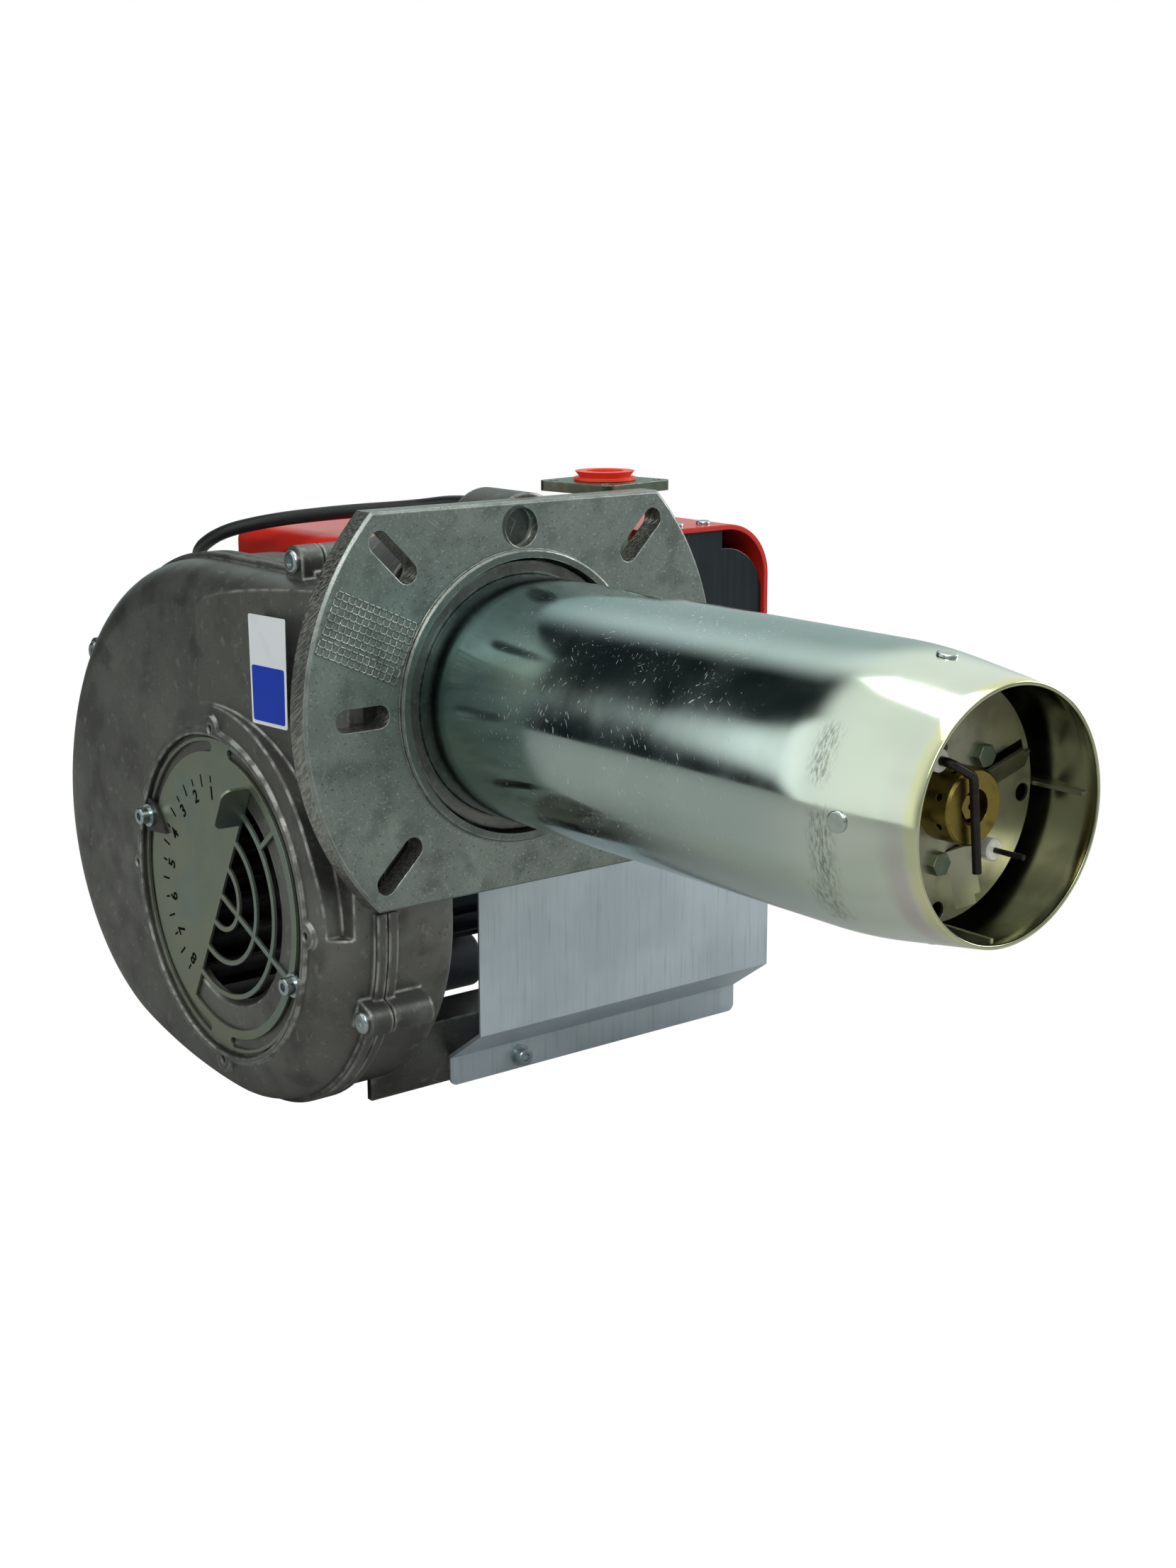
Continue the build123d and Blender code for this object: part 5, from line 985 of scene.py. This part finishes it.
@dataclass(frozen=True)
class Lamp:
    """A soft square lamp: its place and width in metres and its power in watts."""

    name: str
    place: Triple
    width: float
    power: float

    def hang(self, aim: Vector) -> None:
        """Hang the lamp so that it looks at a place."""
        data = bpy.data.lights.new(self.name, "AREA")
        data.shape = "SQUARE"
        data.size = self.width
        data.energy = self.power
        lamp = bpy.data.objects.new(self.name, data)
        bpy.context.scene.collection.objects.link(lamp)
        lamp.location = self.place
        lamp.rotation_euler = (aim - Vector(self.place)).to_track_quat("-Z", "Y").to_euler()


@dataclass
class Studio:
    """Camera, lamps, pale floor and the surroundings that metal mirrors."""

    place: Triple = (-584.9, -796.6, 188.2)
    azimuth: float = -38.01
    elevation: float = 13.1
    roll: float = -0.11
    lens: float = 49.94
    floor_z: float = -214.0
    floor_reach: float = 1.6
    aim: Triple = (0.0, 0.0, -0.05)
    lamps: tuple[Lamp, ...] = (
        Lamp("key", (-0.95, -1.05, 1.15), 0.8, 11.0), Lamp("top", (0.1, -0.1, 1.6), 1.5, 9.0),
        Lamp("side", (1.4, -0.55, 0.6), 0.8, 10.0))

    def build(self) -> None:
        """Set the camera, lamps, floor and world."""
        self.camera()
        for lamp in self.lamps:
            lamp.hang(Vector(self.aim))
        self.floor()
        self.world()

    def camera(self) -> None:
        """Set the camera at the photograph's place and angle."""
        az, el, roll = (math.radians(v) for v in (self.azimuth, self.elevation, self.roll))
        back = Vector((math.sin(az) * math.cos(el), -math.cos(az) * math.cos(el), math.sin(el)))
        right = (-back).cross(Vector((0, 0, 1))).normalized()
        up = right.cross(-back)
        across = right * math.cos(roll) + up * math.sin(roll)
        upward = up * math.cos(roll) - right * math.sin(roll)
        data = bpy.data.cameras.new("camera")
        data.sensor_width = 36.0
        data.lens = self.lens
        data.clip_start = 0.02
        camera = bpy.data.objects.new("camera", data)
        bpy.context.scene.collection.objects.link(camera)
        turned = Matrix((across, upward, back)).transposed().to_4x4()
        camera.matrix_world = Matrix.Translation(Vector(self.place) * MM) @ turned
        bpy.context.scene.camera = camera

    def floor(self) -> None:
        """Lay a pale floor that keeps a soft shadow and looks white."""
        shape = bmesh.new()
        level = Matrix.Translation((0, 0, self.floor_z * MM))
        bmesh.ops.create_grid(shape, x_segments=1, y_segments=1, size=self.floor_reach, matrix=level)
        graph = Graph(bpy.data.materials.new("pale_floor"))
        diffuse = graph.node("ShaderNodeBsdfDiffuse", {"Color": linear("#a8a8a6")})
        glow = graph.node("ShaderNodeEmission", {"Color": (1, 1, 1, 1), "Strength": 1.0})
        seen = graph.node("ShaderNodeLightPath").outputs["Is Camera Ray"]
        surface = graph.node("ShaderNodeMixShader", {0: seen, 1: diffuse.outputs[0], 2: glow.outputs[0]})
        graph.node("ShaderNodeOutputMaterial", {"Surface": surface.outputs[0]})
        mesh = as_mesh("floor", shape)
        mesh.materials.append(graph.owner)
        floor = bpy.data.objects.new("floor", mesh)
        bpy.context.scene.collection.objects.link(floor)

    def world(self) -> None:
        """Surround the scene with the room that metal mirrors: dark behind, bright above.

        The coordinates are parts of a unit direction: X to the motor's side, Y away from the flame, Z up.
        """
        world = bpy.data.worlds.new("studio")
        bpy.context.scene.world = world
        graph = Graph(world)
        x, y, z = graph.node("ShaderNodeSeparateXYZ", {0: graph.coords["Generated"]}).outputs
        slant = graph.math("SUBTRACT", x, graph.times(z, 0.42))
        pale = graph.mix(graph.step(z, 0.45, 0.75), "#a9b9b8", "#e6eff1")
        behind = graph.mix(graph.step(x, -0.08, 0.26), "#161e20", pale)
        behind = graph.mix(graph.step(slant, -0.69, -0.765), behind, (1.15, 1.22, 1.2, 1.0))
        behind = graph.mix(graph.step(y, 0.66, 0.57), behind, "#eef4ef")
        front = graph.mix(graph.step(z, 0.1, 0.5), "#8d9393", "#b9bebe")
        colour = graph.mix(graph.step(y, 0.0, 0.2), front, behind)
        colour = graph.mix(graph.step(z, 0.84, 0.93), colour, "#f4f7f8")
        colour = graph.mix(graph.step(z, -0.1, -0.25), colour, "#6d706e")
        path = graph.node("ShaderNodeLightPath").outputs
        white = graph.math("MAXIMUM", path["Is Camera Ray"], path["Is Transmission Ray"])
        colour = graph.mix(white, colour, (1, 1, 1, 1))
        light = graph.node("ShaderNodeBackground", {"Color": colour, "Strength": 1.0})
        graph.node("ShaderNodeOutputWorld", {"Surface": light.outputs[0]})


def main() -> None:
    """Build every sub-assembly and the studio in order."""
    logging.basicConfig(level=logging.INFO, format="%(name)s: %(message)s")
    bpy.context.scene.view_settings.view_transform = "Standard"
    bench = Bench()
    parts = (Housing(), Flange(), BlastTube(), Damper(), Head(), Motor(), SheetWork(), Hood(), GasTrain(),
             IgnitionLead())
    for part in parts:
        part.build(bench)
        log.info("%s is done", type(part).__name__)
    Studio().build()


if __name__ == "__main__":
    main()
